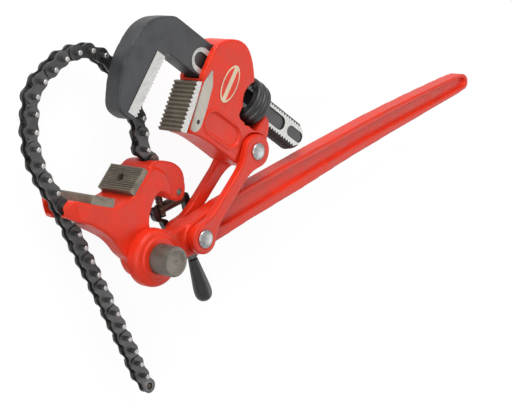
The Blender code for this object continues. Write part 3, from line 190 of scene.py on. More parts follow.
# Turned profiles: the hub's radii and heights in metres, and the grip's radii in metres with
# their places as shares of its length
HUB_PROFILE = (
    (0.0286, 0.0254), (0.0286, 0.0335), (0.0276, 0.0366), (0.0252, 0.0386), (0.0230, 0.0390),
    (0.0216, 0.0396), (0.0206, 0.0410), (0.0190, 0.0414), (0.0152, 0.0414))
GRIP_PROFILE = ((0.0057, 0.12), (0.0080, 0.50), (0.0094, 0.74), (0.0089, 0.89), (0.0052, 0.985),
                (0, 1))


# Frames of the moving groups, taken from the joints

def joint_place(name):
    return Vector(JOINTS[name]["pos_m"])


def standing(place, direction):
    """A frame at a place, turned about Z so that its X runs along a direction."""
    turn = atan2(direction[1], direction[0])
    return Matrix.Translation(place) @ Matrix.Rotation(turn, 4, "Z")


TOOL = Matrix.Translation(joint_place("handle_swing") - Vector((0, 0, HANDLE_PLANE)))
HEAD = standing(joint_place("head_swing"), JOINTS["hook_jaw_slide"]["axis"])
LINKS = standing(joint_place("link_swing"), joint_place("head_swing") - joint_place("link_swing"))

# Turns for a plate whose outline is drawn in Y and Z, or in X and Z
OUTLINE_IN_YZ = Matrix(((0, 0, 1, 0), (1, 0, 0, 0), (0, 1, 0, 0), (0, 0, 0, 1)))
OUTLINE_IN_XZ = Matrix(((1, 0, 0, 0), (0, 0, -1, 0), (0, 1, 0, 0), (0, 0, 0, 1)))


# Settings that a user would change

def colour(name, description, default):
    return bpy.props.FloatVectorProperty(
        name=name, description=description, subtype="COLOR", size=3, min=0.0, max=1.0,
        default=default)


def length(name, description, default):
    return bpy.props.FloatProperty(
        name=name, description=description, subtype="DISTANCE", unit="LENGTH", min=0.0,
        precision=5, default=default)


class WrenchColours(bpy.types.PropertyGroup):
    paint: colour("Paint", "Paint of the castings and links", (0.790, 0.034, 0.010))
    forged: colour("Forging", "Dark scale of the hook jaw", (0.060, 0.062, 0.065))
    machined: colour("Machined steel", "Bright faces of the hook and heel", (0.500, 0.495, 0.475))
    insert: colour("Insert steel", "Toothed inserts and heel jaw", (0.165, 0.140, 0.108))
    pin: colour("Pin steel", "Pivot pin and ear pin", (0.175, 0.155, 0.128))
    black: colour("Black finish", "Nut, lever and sunk fields", (0.014, 0.014, 0.015))
    chain: colour("Chain plate", "Plates of the chain", (0.080, 0.080, 0.082))
    roller: colour("Chain roller", "Rollers between the plates", (0.230, 0.190, 0.150))
    pin_end: colour("Pin end", "Peened ends of the chain's pins", (0.420, 0.395, 0.380))
    rivet: colour("Rivet", "Domed rivets", (0.420, 0.420, 0.425))
    key: colour("Key plate", "Plate that holds the heel jaw", (0.420, 0.390, 0.335))
    screw: colour("Screw steel", "Screws, barrel and clevis", (0.110, 0.075, 0.058))
    spring: colour("Spring steel", "Coil and leaf springs", (0.300, 0.310, 0.330))
    cream: colour("Label", "Ground of the bare label", (0.740, 0.610, 0.420))


class WrenchSizes(bpy.types.PropertyGroup):
    casting_grid: length("Casting grid", "Mesh size of the large castings", 0.0011)
    forging_grid: length("Forging grid", "Mesh size of the hook jaw", 0.0009)
    softness: bpy.props.IntProperty(
        name="Softness", description="Smoothing passes over the castings", min=1, default=9)
    edge: length("Machined edge", "Width of the small bevels on machined pieces", 0.0003)
    insert_teeth: bpy.props.IntProperty(
        name="Insert teeth", description="Ridges across each jaw insert", min=2, default=12)
    insert_depth: length("Insert tooth depth", "Height of the inserts' ridges", 0.0012)
    heel_teeth: bpy.props.IntProperty(
        name="Heel teeth", description="Ridges across the heel jaw", min=2, default=12)
    heel_depth: length("Heel tooth depth", "Height of the heel jaw's ridges", 0.0026)
    hook_teeth: bpy.props.IntProperty(
        name="Hook teeth", description="Teeth along the hook jaw", min=2, default=17)
    hook_depth: length("Hook tooth depth", "Height of the hook's teeth", 0.0022)
    dome: length("Rivet dome", "Height of the rivets' domes", 0.0034)
    coil_radius: length("Coil radius", "Radius of the coil spring", 0.0040)
    coil_wire: length("Coil wire", "Radius of the coil spring's wire", 0.0008)


class WrenchStage(bpy.types.PropertyGroup):
    key_light: bpy.props.FloatProperty(
        name="Key light", description="Power of the large soft lamp", unit="POWER", default=14.0)
    side_light: bpy.props.FloatProperty(
        name="Side light", description="Power of the lamp beside the camera", unit="POWER",
        default=6.0)
    back_light: bpy.props.FloatProperty(
        name="Back light", description="Power of the lamp behind the tool", unit="POWER",
        default=5.0)
    ambient: bpy.props.FloatProperty(
        name="Ambient", description="Strength of the light from all round", min=0.0, default=0.30)
    floor_size: length("Floor", "Half width of the floor", 6.0)
    shadow: bpy.props.FloatProperty(
        name="Shadow", description="How much of the floor's shadow shows", subtype="FACTOR",
        min=0.0, max=1.0, default=0.12)


# Mesh tools

def scaled(shares, size, x=0.0, y=0.0):
    return [(a * size + x, b * size + y) for a, b in shares]


def arc(x, y, radius, start, end, steps):
    turns = [start + (end - start) * step / steps for step in range(steps + 1)]
    return [(x + radius * cos(turn), y + radius * sin(turn)) for turn in turns]


def eased(outline, reach, closed=True, steps=4):
    """The outline with each corner rounded off over at most the reach on both sides."""
    corners = [Vector(point) for point in outline]
    points = []
    for index, corner in enumerate(corners):
        if not closed and index in (0, len(corners) - 1):
            points.append(corner)
            continue
        before = corners[index - 1] - corner
        after = corners[(index + 1) % len(corners)] - corner
        start = corner + before * min(reach / before.length, 0.48)
        end = corner + after * min(reach / after.length, 0.48)
        for step in range(steps + 1):
            share = step / steps
            points.append(start.lerp(corner, share).lerp(corner.lerp(end, share), share))
    return [tuple(point) for point in points]


def long_hole(start, end, y, half_width, steps=16):
    """Outline of a slot with round ends that lies along X."""
    return (arc(end - half_width, y, half_width, -pi / 2, pi / 2, steps)
            + arc(start + half_width, y, half_width, pi / 2, pi * 1.5, steps))


def to_object(data, name="blank"):
    mesh = bpy.data.meshes.new(name)
    data.to_mesh(mesh)
    data.free()
    shape = bpy.data.objects.new(name, mesh)
    bpy.context.scene.collection.objects.link(shape)
    return shape


def prism(outline, low, high, rim=0.0, segments=2):
    """A closed plate of the outline between two heights, with rounded rims."""
    data = bmesh.new()
    floor = [data.verts.new((x, y, low)) for x, y in outline]
    roof = [data.verts.new((x, y, high)) for x, y in outline]
    data.faces.new(floor)
    data.faces.new(roof)
    for index, corner in enumerate(floor):
        following = (index + 1) % len(floor)
        data.faces.new((corner, floor[following], roof[following], roof[index]))
    if rim:
        edges = [e for e in data.edges if e.verts[0].co.z == e.verts[1].co.z]
        bmesh.ops.bevel(data, geom=edges, offset=rim, segments=segments, affect="EDGES",
                        profile=0.5, clamp_overlap=True)
    bmesh.ops.recalc_face_normals(data, faces=data.faces)
    return to_object(data)


def turned(profile, place=(0, 0, 0), axis=(0, 0, 1), steps=96):
    """A solid of revolution from (radius, height) pairs along an axis through a place."""
    turn = Vector((0, 0, 1)).rotation_difference(Vector(axis)).to_matrix().to_4x4()
    data = bmesh.new()
    rings = []
    for radius, height in profile:
        spots = steps if radius else 1
        rings.append([data.verts.new((radius * cos(tau * i / steps),
                                      radius * sin(tau * i / steps), height))
                      for i in range(spots)])
    for lower, upper in zip(rings, rings[1:]):
        for i in range(steps):
            j = (i + 1) % steps
            corners = (lower[i % len(lower)], lower[j % len(lower)],
                       upper[j % len(upper)], upper[i % len(upper)])
            data.faces.new(list(dict.fromkeys(corners)))
    for ring in (rings[0], rings[-1]):
        if len(ring) > 1:
            data.faces.new(ring)
    bmesh.ops.recalc_face_normals(data, faces=data.faces)
    data.transform(Matrix.Translation(place) @ turn)
    return to_object(data)


def rod(radius, start, end, steps=96):
    start = Vector(start)
    span = Vector(end) - start
    return turned([(radius, 0), (radius, span.length)], start, span.normalized(), steps)


def box(low, high):
    return prism([(low[0], low[1]), (high[0], low[1]), (high[0], high[1]), (low[0], high[1])],
                 low[2], high[2])


def threaded(start, stop, tip, radius, depth, pitch, steps=48, cuts=8, dome_steps=8):
    """A rod along X with a helical ridge, flat at its start and rounded at its tip."""
    data = bmesh.new()
    rings = []
    count = int((stop - start) / pitch * cuts)
    for index in range(count + 1):
        x = start + (stop - start) * index / count
        ring = []
        for step in range(steps):
            phase = ((x - start) / pitch - step / steps) % 1.0
            reach = radius - depth * abs(2 * phase - 1)
            turn = tau * step / steps
            ring.append(data.verts.new((x, reach * cos(turn), reach * sin(turn))))
        rings.append(ring)
    root = radius - depth
    for index in range(1, dome_steps):
        lean = pi / 2 * index / dome_steps
        x = stop + (tip - stop) * sin(lean)
        rings.append([data.verts.new((x, root * cos(lean) * cos(tau * step / steps),
                                      root * cos(lean) * sin(tau * step / steps)))
                      for step in range(steps)])
    point = data.verts.new((tip, 0, 0))
    for lower, upper in zip(rings, rings[1:]):
        for i in range(steps):
            j = (i + 1) % steps
            data.faces.new((lower[i], lower[j], upper[j], upper[i]))
    for i in range(steps):
        data.faces.new((rings[-1][i], rings[-1][(i + 1) % steps], point))
    data.faces.new(rings[0])
    bmesh.ops.recalc_face_normals(data, faces=data.faces)
    return to_object(data)


def settled(shape):
    """Works a shape's modifiers into its mesh."""
    graph = bpy.context.evaluated_depsgraph_get()
    mesh = bpy.data.meshes.new_from_object(shape.evaluated_get(graph))
    shape.modifiers.clear()
    shape.data = mesh
    return shape


def worked(body, operation, tools, solver):
    for tool in tools:
        modifier = body.modifiers.new("work", "BOOLEAN")
        modifier.operation = operation
        modifier.solver = solver
        if solver == "EXACT":
            modifier.use_self = True
        modifier.object = tool
        settled(body)
        bpy.data.objects.remove(tool)
    return body


def cut(body, *tools, solver="MANIFOLD"):
    return worked(body, "DIFFERENCE", tools, solver)


def join(body, *tools, solver="MANIFOLD"):
    return worked(body, "UNION", tools, solver)


def keep(body, *tools, solver="MANIFOLD"):
    return worked(body, "INTERSECT", tools, solver)


def softened(body, grid, passes):
    """Remeshes a body on a fine grid and smooths it, so that every edge is cast round."""
    remesh = body.modifiers.new("grid", "REMESH")
    remesh.mode = "VOXEL"
    remesh.voxel_size = grid
    smooth = body.modifiers.new("soft", "SMOOTH")
    smooth.factor = 0.5
    smooth.iterations = passes
    return settled(body)


def moved(shape, matrix):
    shape.data.transform(matrix)
    return shape


def finished(piece, name, finishes, where, body, node_name, angle=35, rule=None):
    """Gives a piece its finishes, lays it in its place, and names, shades and attaches it."""
    mesh = piece.data
    mesh.materials.clear()
    for finish in finishes.split():
        mesh.materials.append(bpy.data.materials[finish])
    if rule:
        for face in mesh.polygons:
            face.material_index = rule(face.center, face.normal)
    mesh.transform(where)
    placed(piece, name, body, node_name, angle)


def placed(piece, name, body, node_name, angle=35):
    """Names and shades a piece, parents it to the body it rides on and hides its CAD node."""
    piece.name = piece.data.name = name
    piece.data.shade_smooth()
    piece.data.set_sharp_from_angle(angle=radians(angle))
    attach(piece, body)
    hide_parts(node_name)


# Node tools

def node(tree, kind, inputs=(), **settings):
    made = tree.nodes.new(kind)
    for name, value in settings.items():
        setattr(made, name, value)
    for key, value in dict(inputs).items():
        socket = made.inputs[key]
        if isinstance(value, bpy.types.NodeSocket):
            tree.links.new(value, socket)
        else:
            socket.default_value = value
    return made


def node_group(name, kind, inputs, outputs):
    """A node group, the sockets that it is given and those of its results."""
    tree = bpy.data.node_groups.new(name, kind)
    for label, socket_type, default in inputs:
        item = tree.interface.new_socket(label, in_out="INPUT", socket_type=socket_type)
        if default is not None:
            item.default_value = default
    for label, socket_type in outputs:
        tree.interface.new_socket(label, in_out="OUTPUT", socket_type=socket_type)
    return tree, tree.nodes.new("NodeGroupInput").outputs, tree.nodes.new("NodeGroupOutput").inputs


def grown(tree, **inputs):
    """A plain mesh made by a Geometry Nodes tree from the given inputs."""
    shape = to_object(bmesh.new())
    modifier = shape.modifiers.new(tree.name, "NODES")
    modifier.node_group = tree
    for item in tree.interface.items_tree:
        if item.in_out == "INPUT" and item.name in inputs:
            modifier[item.identifier] = inputs[item.name]
    return settled(shape)


def ridge_row_tree():
    """Copies of one ridge at even steps along a line."""
    tree, given, result = node_group("ridge_row", "GeometryNodeTree", (
        ("Ridge", "NodeSocketObject", None), ("Count", "NodeSocketInt", 12),
        ("Start", "NodeSocketVector", None), ("Step", "NodeSocketVector", None),
        ("Finish", "NodeSocketMaterial", None)), (("Mesh", "NodeSocketGeometry"),))
    line = node(tree, "GeometryNodeMeshLine", {
        "Count": given["Count"], "Start Location": given["Start"],
        "Offset": given["Step"]})
    ridge = node(tree, "GeometryNodeObjectInfo", {"Object": given["Ridge"]})
    copies = node(tree, "GeometryNodeInstanceOnPoints", {
        "Points": line.outputs["Mesh"], "Instance": ridge.outputs["Geometry"]})
    real = node(tree, "GeometryNodeRealizeInstances", {"Geometry": copies.outputs["Instances"]})
    finish = node(tree, "GeometryNodeSetMaterial", {
        "Geometry": real.outputs["Geometry"], "Material": given["Finish"]})
    tree.links.new(finish.outputs["Geometry"], result["Mesh"])
    return tree


def chain_link_tree():
    """Two plates with a post at each end, laid at a place and turned to a heading."""
    tree, given, result = node_group("chain_link", "GeometryNodeTree", (
        ("Plates", "NodeSocketObject", None), ("Post", "NodeSocketObject", None),
        ("Pitch", "NodeSocketFloat", CHAIN_PITCH), ("Place", "NodeSocketVector", None),
        ("Heading", "NodeSocketVector", None), ("Plate Finish", "NodeSocketMaterial", None),
        ("Post Finish", "NodeSocketMaterial", None), ("End Finish", "NodeSocketMaterial", None),
        ("End Height", "NodeSocketFloat", 0.0122)), (("Mesh", "NodeSocketGeometry"),))
    pitch = node(tree, "ShaderNodeCombineXYZ", {"X": given["Pitch"]})
    line = node(tree, "GeometryNodeMeshLine", {"Count": 2, "Offset": pitch.outputs["Vector"]})
    post = node(tree, "GeometryNodeObjectInfo", {"Object": given["Post"]})
    height = node(tree, "ShaderNodeSeparateXYZ",
                  {"Vector": node(tree, "GeometryNodeInputPosition").outputs["Position"]})
    reach = node(tree, "ShaderNodeMath", {0: height.outputs["Z"]}, operation="ABSOLUTE")
    at_end = node(tree, "FunctionNodeCompare", {
        "A": reach.outputs[0], "B": given["End Height"]}, operation="GREATER_THAN")
    marked = node(tree, "GeometryNodeStoreNamedAttribute", {
        "Geometry": post.outputs["Geometry"], "Name": "post", "Value": True},
        data_type="BOOLEAN", domain="FACE")
    ended = node(tree, "GeometryNodeStoreNamedAttribute", {
        "Geometry": marked.outputs["Geometry"], "Name": "pin_end",
        "Value": at_end.outputs["Result"]}, data_type="BOOLEAN", domain="FACE")
    posts = node(tree, "GeometryNodeInstanceOnPoints", {
        "Points": line.outputs["Mesh"], "Instance": ended.outputs["Geometry"]})
    plates = node(tree, "GeometryNodeObjectInfo", {"Object": given["Plates"]})
    both = node(tree, "GeometryNodeJoinGeometry", {"Geometry": plates.outputs["Geometry"]})
    tree.links.new(posts.outputs["Instances"], both.inputs["Geometry"])
    laid = node(tree, "GeometryNodeTransform", {
        "Geometry": both.outputs["Geometry"], "Translation": given["Place"],
        "Rotation": given["Heading"]})
    geometry = node(tree, "GeometryNodeRealizeInstances",
                    {"Geometry": laid.outputs["Geometry"]}).outputs["Geometry"]
    for label, attribute in (("Plate Finish", None), ("Post Finish", "post"),
                             ("End Finish", "pin_end")):
        painted = node(tree, "GeometryNodeSetMaterial", {
            "Geometry": geometry, "Material": given[label]})
        if attribute:
            chosen = node(tree, "GeometryNodeInputNamedAttribute", {"Name": attribute},
                          data_type="BOOLEAN")
            tree.links.new(chosen.outputs["Attribute"], painted.inputs["Selection"])
        geometry = painted.outputs["Geometry"]
    tree.links.new(geometry, result["Mesh"])
    return tree


def coil_tree():
    """A round wire wound up an even spiral."""
    tree, given, result = node_group("coil", "GeometryNodeTree", (
        ("Radius", "NodeSocketFloat", 0.004), ("Wire", "NodeSocketFloat", 0.0008),
        ("Turns", "NodeSocketFloat", 4.0), ("Height", "NodeSocketFloat", 0.01),
        ("Finish", "NodeSocketMaterial", None)), (("Mesh", "NodeSocketGeometry"),))
    path = node(tree, "GeometryNodeCurveSpiral", {
        "Resolution": 28, "Rotations": given["Turns"],
        "Start Radius": given["Radius"], "End Radius": given["Radius"],
        "Height": given["Height"]})
    wire = node(tree, "GeometryNodeCurvePrimitiveCircle", {
        "Resolution": 10, "Radius": given["Wire"]})
    tube = node(tree, "GeometryNodeCurveToMesh", {
        "Curve": path.outputs["Curve"], "Profile Curve": wire.outputs["Curve"],
        "Fill Caps": True})
    real = node(tree, "GeometryNodeRealizeInstances", {"Geometry": tube.outputs["Mesh"]})
    finish = node(tree, "GeometryNodeSetMaterial", {
        "Geometry": real.outputs["Geometry"], "Material": given["Finish"]})
    tree.links.new(finish.outputs["Geometry"], result["Mesh"])
    return tree


# Finishes

def grain_group():
    """Cast or forged grain: a bump height and a slow change of tone."""
    tree, given, result = node_group("cast_grain", "ShaderNodeTree", (
        ("Scale", "NodeSocketFloat", 700.0), ("Swell", "NodeSocketFloat", 60.0)),
        (("Height", "NodeSocketFloat"), ("Tone", "NodeSocketFloat")))
    spot = node(tree, "ShaderNodeTexCoord").outputs["Object"]
    fine = node(tree, "ShaderNodeTexNoise", {
        "Vector": spot, "Scale": given["Scale"], "Detail": 5.0, "Roughness": 0.6})
    swell = node(tree, "ShaderNodeTexNoise", {
        "Vector": spot, "Scale": given["Swell"], "Detail": 3.0})
    both = node(tree, "ShaderNodeMath", {
        0: swell.outputs["Fac"], 1: 1.5, 2: fine.outputs["Fac"]}, operation="MULTIPLY_ADD")
    tree.links.new(both.outputs[0], result["Height"])
    tree.links.new(swell.outputs["Fac"], result["Tone"])


def edge_highlight_and_hollow_shade_group():
    """Masks of outer edges, where a highlight is painted, and of hollows, where shade is painted."""
    tree, given, result = node_group("worn_edges", "ShaderNodeTree", (
        ("Edge", "NodeSocketFloat", 0.56), ("Hollow", "NodeSocketFloat", 0.44)),
        (("Edges", "NodeSocketFloat"), ("Hollows", "NodeSocketFloat")))
    point = node(tree, "ShaderNodeNewGeometry").outputs["Pointiness"]
    spot = node(tree, "ShaderNodeTexCoord").outputs["Object"]
    patch = node(tree, "ShaderNodeTexNoise", {"Vector": spot, "Scale": 160.0, "Detail": 4.0})
    # Edges marks where the painted highlight goes and Hollows where the painted shade goes; both
    # follow pointiness and are broken into noise patches.
    for label, edge, end in (("Edges", "Edge", 0.10), ("Hollows", "Hollow", -0.10)):
        limit = node(tree, "ShaderNodeMath", {0: given[edge], 1: end}, operation="ADD")
        ramp = node(tree, "ShaderNodeMapRange", {
            "Value": point, "From Min": given[edge], "From Max": limit.outputs[0]})
        mask = node(tree, "ShaderNodeMath", {
            0: ramp.outputs["Result"], 1: patch.outputs["Fac"]}, operation="MULTIPLY")
        tree.links.new(mask.outputs[0], result[label])


def lines_group():
    """Grinding lines: noise stretched along one direction of the piece."""
    tree, given, result = node_group("grinding_lines", "ShaderNodeTree", (
        ("Stretch", "NodeSocketVector", None),), (("Lines", "NodeSocketFloat"),))
    spot = node(tree, "ShaderNodeTexCoord").outputs["Object"]
    long = node(tree, "ShaderNodeVectorMath", {0: spot, 1: given["Stretch"]},
                operation="MULTIPLY")
    noise = node(tree, "ShaderNodeTexNoise", {
        "Vector": long.outputs["Vector"], "Scale": 1.0, "Detail": 3.0})
    tree.links.new(noise.outputs["Fac"], result["Lines"])


def metal(name, base, rough, metallic, edge=1.5, depth=0.25, scale=700.0, lines=None,
          streaks=None, vary=0.35, gloss=0.5):
    """A finish from the shared groups: grain, a painted highlight on outer edges, painted shade in
    hollows and grinding lines.
    """
    material = bpy.data.materials.new(name)
    material.use_nodes = True
    tree = material.node_tree
    shader = tree.nodes["Principled BSDF"]
    groups = bpy.data.node_groups
    grain = node(tree, "ShaderNodeGroup", node_tree=groups["cast_grain"])
    grain.inputs["Scale"].default_value = scale
    highlight_and_shade_masks = node(tree, "ShaderNodeGroup", node_tree=groups["worn_edges"])
    # dark is a darker tone of the base, used for the random tone and for painted shade in hollows;
    # light is the painted highlight colour of outer edges.
    dark = tuple(channel * (1 - vary) for channel in base) + (1.0,)
    light = tuple(min(1.0, channel * edge + 0.015 * (edge - 1)) for channel in base) + (1.0,)
    tone = node(tree, "ShaderNodeMapRange", {
        "Value": grain.outputs["Tone"], "From Min": 0.35, "From Max": 0.65})
    body = node(tree, "ShaderNodeMix", {0: tone.outputs["Result"], 6: dark, 7: (*base, 1.0)},
                data_type="RGBA")
    # Painted shade: hollows turn to the dark tone. Painted highlight: outer edges turn to the light
    # tone.
    hollow_shaded = node(tree, "ShaderNodeMix", {
        0: highlight_and_shade_masks.outputs["Hollows"], 6: body.outputs[2], 7: dark}, data_type="RGBA")
    edge_highlighted = node(tree, "ShaderNodeMix", {
        0: highlight_and_shade_masks.outputs["Edges"], 6: hollow_shaded.outputs[2], 7: light}, data_type="RGBA")
    colour_now, height = edge_highlighted.outputs[2], grain.outputs["Height"]
    if lines or streaks:
        low, high = (0.84, 1.08) if lines else (0.62, 1.15)
        if lines:
            marks = node(tree, "ShaderNodeGroup", node_tree=groups["grinding_lines"])
            marks.inputs["Stretch"].default_value = lines
            mark = marks.outputs["Lines"]
        else:
            spot = node(tree, "ShaderNodeAttribute", attribute_name="dome")
            mark = node(tree, "ShaderNodeTexNoise", {
                "Vector": spot.outputs["Vector"], "Scale": streaks, "Detail": 2.0}).outputs["Fac"]
        lit = node(tree, "ShaderNodeMapRange", {
            "Value": mark, "From Min": 0.35, "From Max": 0.65, "To Min": low, "To Max": high})
        shaded = node(tree, "ShaderNodeMix", {
            0: 1.0, 6: colour_now, 7: lit.outputs["Result"]}, data_type="RGBA",
            blend_type="MULTIPLY")
        colour_now = shaded.outputs[2]
        height = node(tree, "ShaderNodeMath", {0: mark, 1: height}, operation="ADD").outputs[0]
    tree.links.new(colour_now, shader.inputs["Base Color"])
    roughness = node(tree, "ShaderNodeMapRange", {
        "Value": grain.outputs["Tone"], "From Min": 0.3, "From Max": 0.7,
        "To Min": rough - 0.06, "To Max": rough + 0.08})
    tree.links.new(roughness.outputs["Result"], shader.inputs["Roughness"])
    bump = node(tree, "ShaderNodeBump", {
        "Height": height, "Strength": depth, "Distance": 0.0004})
    tree.links.new(bump.outputs["Normal"], shader.inputs["Normal"])
    shader.inputs["Metallic"].default_value = metallic
    shader.inputs["Specular IOR Level"].default_value = gloss


def make_finishes(colours):
    grain_group()
    edge_highlight_and_hollow_shade_group()
    lines_group()
    # edge sets how much lighter the painted highlight on outer edges is; vary sets the dark tone,
    # used for random tone and for painted shade in hollows.
    metal("paint", colours.paint, 0.40, 0.0, edge=1.15, depth=0.30, scale=520.0, gloss=0.30,
          vary=0.14)
    metal("forging", colours.forged, 0.46, 0.55, depth=0.35, scale=620.0)
    metal("machined", colours.machined, 0.38, 0.45, edge=1.1, depth=0.15, vary=0.12,
          lines=(90.0, 1400.0, 90.0))
    metal("insert", colours.insert, 0.50, 0.45, depth=0.12, scale=900.0)
    metal("pin", colours.pin, 0.45, 0.55, edge=2.0, depth=0.20, lines=(220.0, 220.0, 2600.0))
    metal("black", colours.black, 0.36, 0.10, edge=2.5, depth=0.20)
    metal("chain", colours.chain, 0.38, 0.65, edge=3.4, depth=0.15, scale=1200.0)
    metal("roller", colours.roller, 0.42, 0.55, depth=0.15, scale=1200.0)
    metal("pin_end", colours.pin_end, 0.34, 0.75, edge=1.2, depth=0.15, scale=1500.0)
    metal("rivet", colours.rivet, 0.30, 0.85, edge=1.1, depth=0.25, streaks=1.0)
    metal("key", colours.key, 0.40, 0.40, edge=1.15, depth=0.15, vary=0.12,
          lines=(1500.0, 90.0, 90.0))
    metal("screw", colours.screw, 0.38, 0.60, edge=2.0, depth=0.20, lines=(200.0, 1800.0, 200.0))
    metal("spring", colours.spring, 0.32, 0.90, depth=0.10)
    metal("cream", colours.cream, 0.45, 0.0, edge=1.0, depth=0.05, vary=0.10)


# Stage

# The camera's place in metres from the pivot pin, and its turns about X, Y and Z in degrees
CAMERA_PLACE = (-0.80867, 0.51713, 1.06170)
CAMERA_TURNS = (-9.346, -45.780, -15.625)
SENSOR_WIDTH = 36.0
FOCAL_PIXELS = 1458.99
PHOTO_WIDTH = 512
LAMP_DISTANCE = 1.4
FLOOR_TOP = -0.0002
FLOOR_BASE = -0.010


def make_stage(stage):
    """The photograph's camera, three soft lamps, a white surround and a pale floor."""
    scene = bpy.context.scene
    scene.view_settings.view_transform = "Standard"
    camera = bpy.data.objects.new("camera", bpy.data.cameras.new("camera"))
    camera.data.sensor_width = SENSOR_WIDTH
    camera.data.lens = SENSOR_WIDTH * FOCAL_PIXELS / PHOTO_WIDTH
    camera.matrix_world = (Matrix.Translation(TOOL.translation + Vector(CAMERA_PLACE))
                           @ Euler([radians(turn) for turn in CAMERA_TURNS]).to_matrix().to_4x4())
    scene.collection.objects.link(camera)
    scene.camera = camera
    for name, power, size, direction in (
            ("key_lamp", stage.key_light, 0.9, (-0.10, 0.94, 0.50)),
            ("side_lamp", stage.side_light, 0.8, (-0.85, 0.20, 0.42)),
            ("back_lamp", stage.back_light, 0.9, (0.70, -0.45, 0.65))):
        lamp = bpy.data.objects.new(name, bpy.data.lights.new(name, "AREA"))
        lamp.data.energy = power
        lamp.data.size = size
        ray = Vector(direction).normalized()
        lamp.matrix_world = (Matrix.Translation(ray * LAMP_DISTANCE)
                             @ ray.to_track_quat("Z", "Y").to_matrix().to_4x4())
        scene.collection.objects.link(lamp)
    world = bpy.data.worlds.new("studio")
    scene.world = world
    world.use_nodes = True
    tree = world.node_tree
    back = tree.nodes["Background"]
    seen = seen_rays(tree)
    level = node(tree, "ShaderNodeMapRange", {"Value": seen, "To Min": stage.ambient, "To Max": 1.0})
    tree.links.new(level.outputs["Result"], back.inputs["Strength"])
    back.inputs["Color"].default_value = (1.0, 1.0, 1.0, 1.0)
    reach = stage.floor_size
    floor = box((-reach, -reach, FLOOR_BASE), (reach, reach, FLOOR_TOP))
    floor.name = floor.data.name = "floor"
    floor.data.materials.append(floor_finish(stage.shadow))


def seen_rays(tree):
    """1 for the rays by which the camera, gloss or glass sees the backdrop, otherwise 0."""
    path = node(tree, "ShaderNodeLightPath")
    first = node(tree, "ShaderNodeMath", {
        0: path.outputs["Is Camera Ray"], 1: path.outputs["Is Glossy Ray"]}, operation="MAXIMUM")
    return node(tree, "ShaderNodeMath", {
        0: first.outputs[0], 1: path.outputs["Is Transmission Ray"]},
        operation="MAXIMUM").outputs[0]


def floor_finish(shadow):
    material = bpy.data.materials.new("pale_floor")
    material.use_nodes = True
    tree = material.node_tree
    tree.nodes.remove(tree.nodes["Principled BSDF"])
    speck = node(tree, "ShaderNodeTexNoise", {"Scale": 30.0, "Detail": 2.0})
    ground = node(tree, "ShaderNodeMapRange", {
        "Value": speck.outputs["Fac"], "To Min": 0.84, "To Max": 0.88})
    matt = node(tree, "ShaderNodeBsdfDiffuse", {"Color": ground.outputs["Result"]})
    glow = node(tree, "ShaderNodeEmission", {"Strength": 1.06})
    share = node(tree, "ShaderNodeMath", {0: seen_rays(tree), 1: 1.0 - shadow},
                 operation="MULTIPLY")
    mix = node(tree, "ShaderNodeMixShader", {
        0: share.outputs[0], 1: matt.outputs["BSDF"], 2: glow.outputs["Emission"]})
    tree.links.new(mix.outputs["Shader"], tree.nodes["Material Output"].inputs["Surface"])
    return material


# Pieces

def in_tool(name):
    return joint_place(name) - TOOL.translation


def bore(radius, x=0.0, y=0.0, steps=96):
    """A cutter along Z that passes through any piece at a place."""
    return rod(radius, (x, y, -THROUGH), (x, y, THROUGH), steps)


def screw_bore(radius, low, high, steps=48):
    """A cutter on the chain screw's axis between two heights along Y."""
    return rod(radius, (SCREW_X, low, 0), (SCREW_X, high, 0), steps)


def two_eyed(length, radii, waist, reach, mouth, steps):
    """Outline of a bar with round eyes, whose sides start at a share of each eye's radius."""
    near, far = radii
    return (arc(0, 0, near, mouth, tau - mouth, steps)
            + [(near * reach, -waist), (length - far * reach, -waist)]
            + arc(length, 0, far, mouth - pi, pi - mouth, steps)
            + [(length - far * reach, waist), (near * reach, waist)])


def toothed(block, rows, ridge, count, start, step, finish):
    """Joins a row of copies of one ridge to a jaw's block."""
    ridges = grown(rows, Ridge=ridge, Count=count, Start=start, Step=step,
                   Finish=bpy.data.materials[finish])
    bpy.data.objects.remove(ridge)
    return join(block, ridges, solver="EXACT")


def seat_frame(side):
    (x0, y0), (x1, y1) = scaled(SEATS[side], TRUNNION_REACH)
    return standing(((x0 + x1) / 2, (y0 + y1) / 2, 0), (x1 - x0, y1 - y0))


def slot_cutters():
    """The chain's channel through the horns: narrow at its middle, wide at two pins."""
    above, below = in_tool("chain_pivot_22"), in_tool("chain_pivot_23")
    middle = (above + below) / 2
    middle.z = 0
    channel = standing(middle, below - above)
    wall, tooth = PLATE_RADIUS * 1.35, (CHAIN_PITCH - CHAIN_PIN_RADIUS * 2) * 0.2
    reach, far = CHAIN_PITCH * 2.4, TRUNNION_REACH
    strips = ((-reach, -tooth, wall + GAP, POCKET_HALF), (tooth, reach, wall + GAP, POCKET_HALF),
              (-tooth * 3, tooth * 3, wall, SLOT_HALF))
    return [moved(box((start, -far, -half), (end, depth, half)), channel)
            for start, end, depth, half in strips]


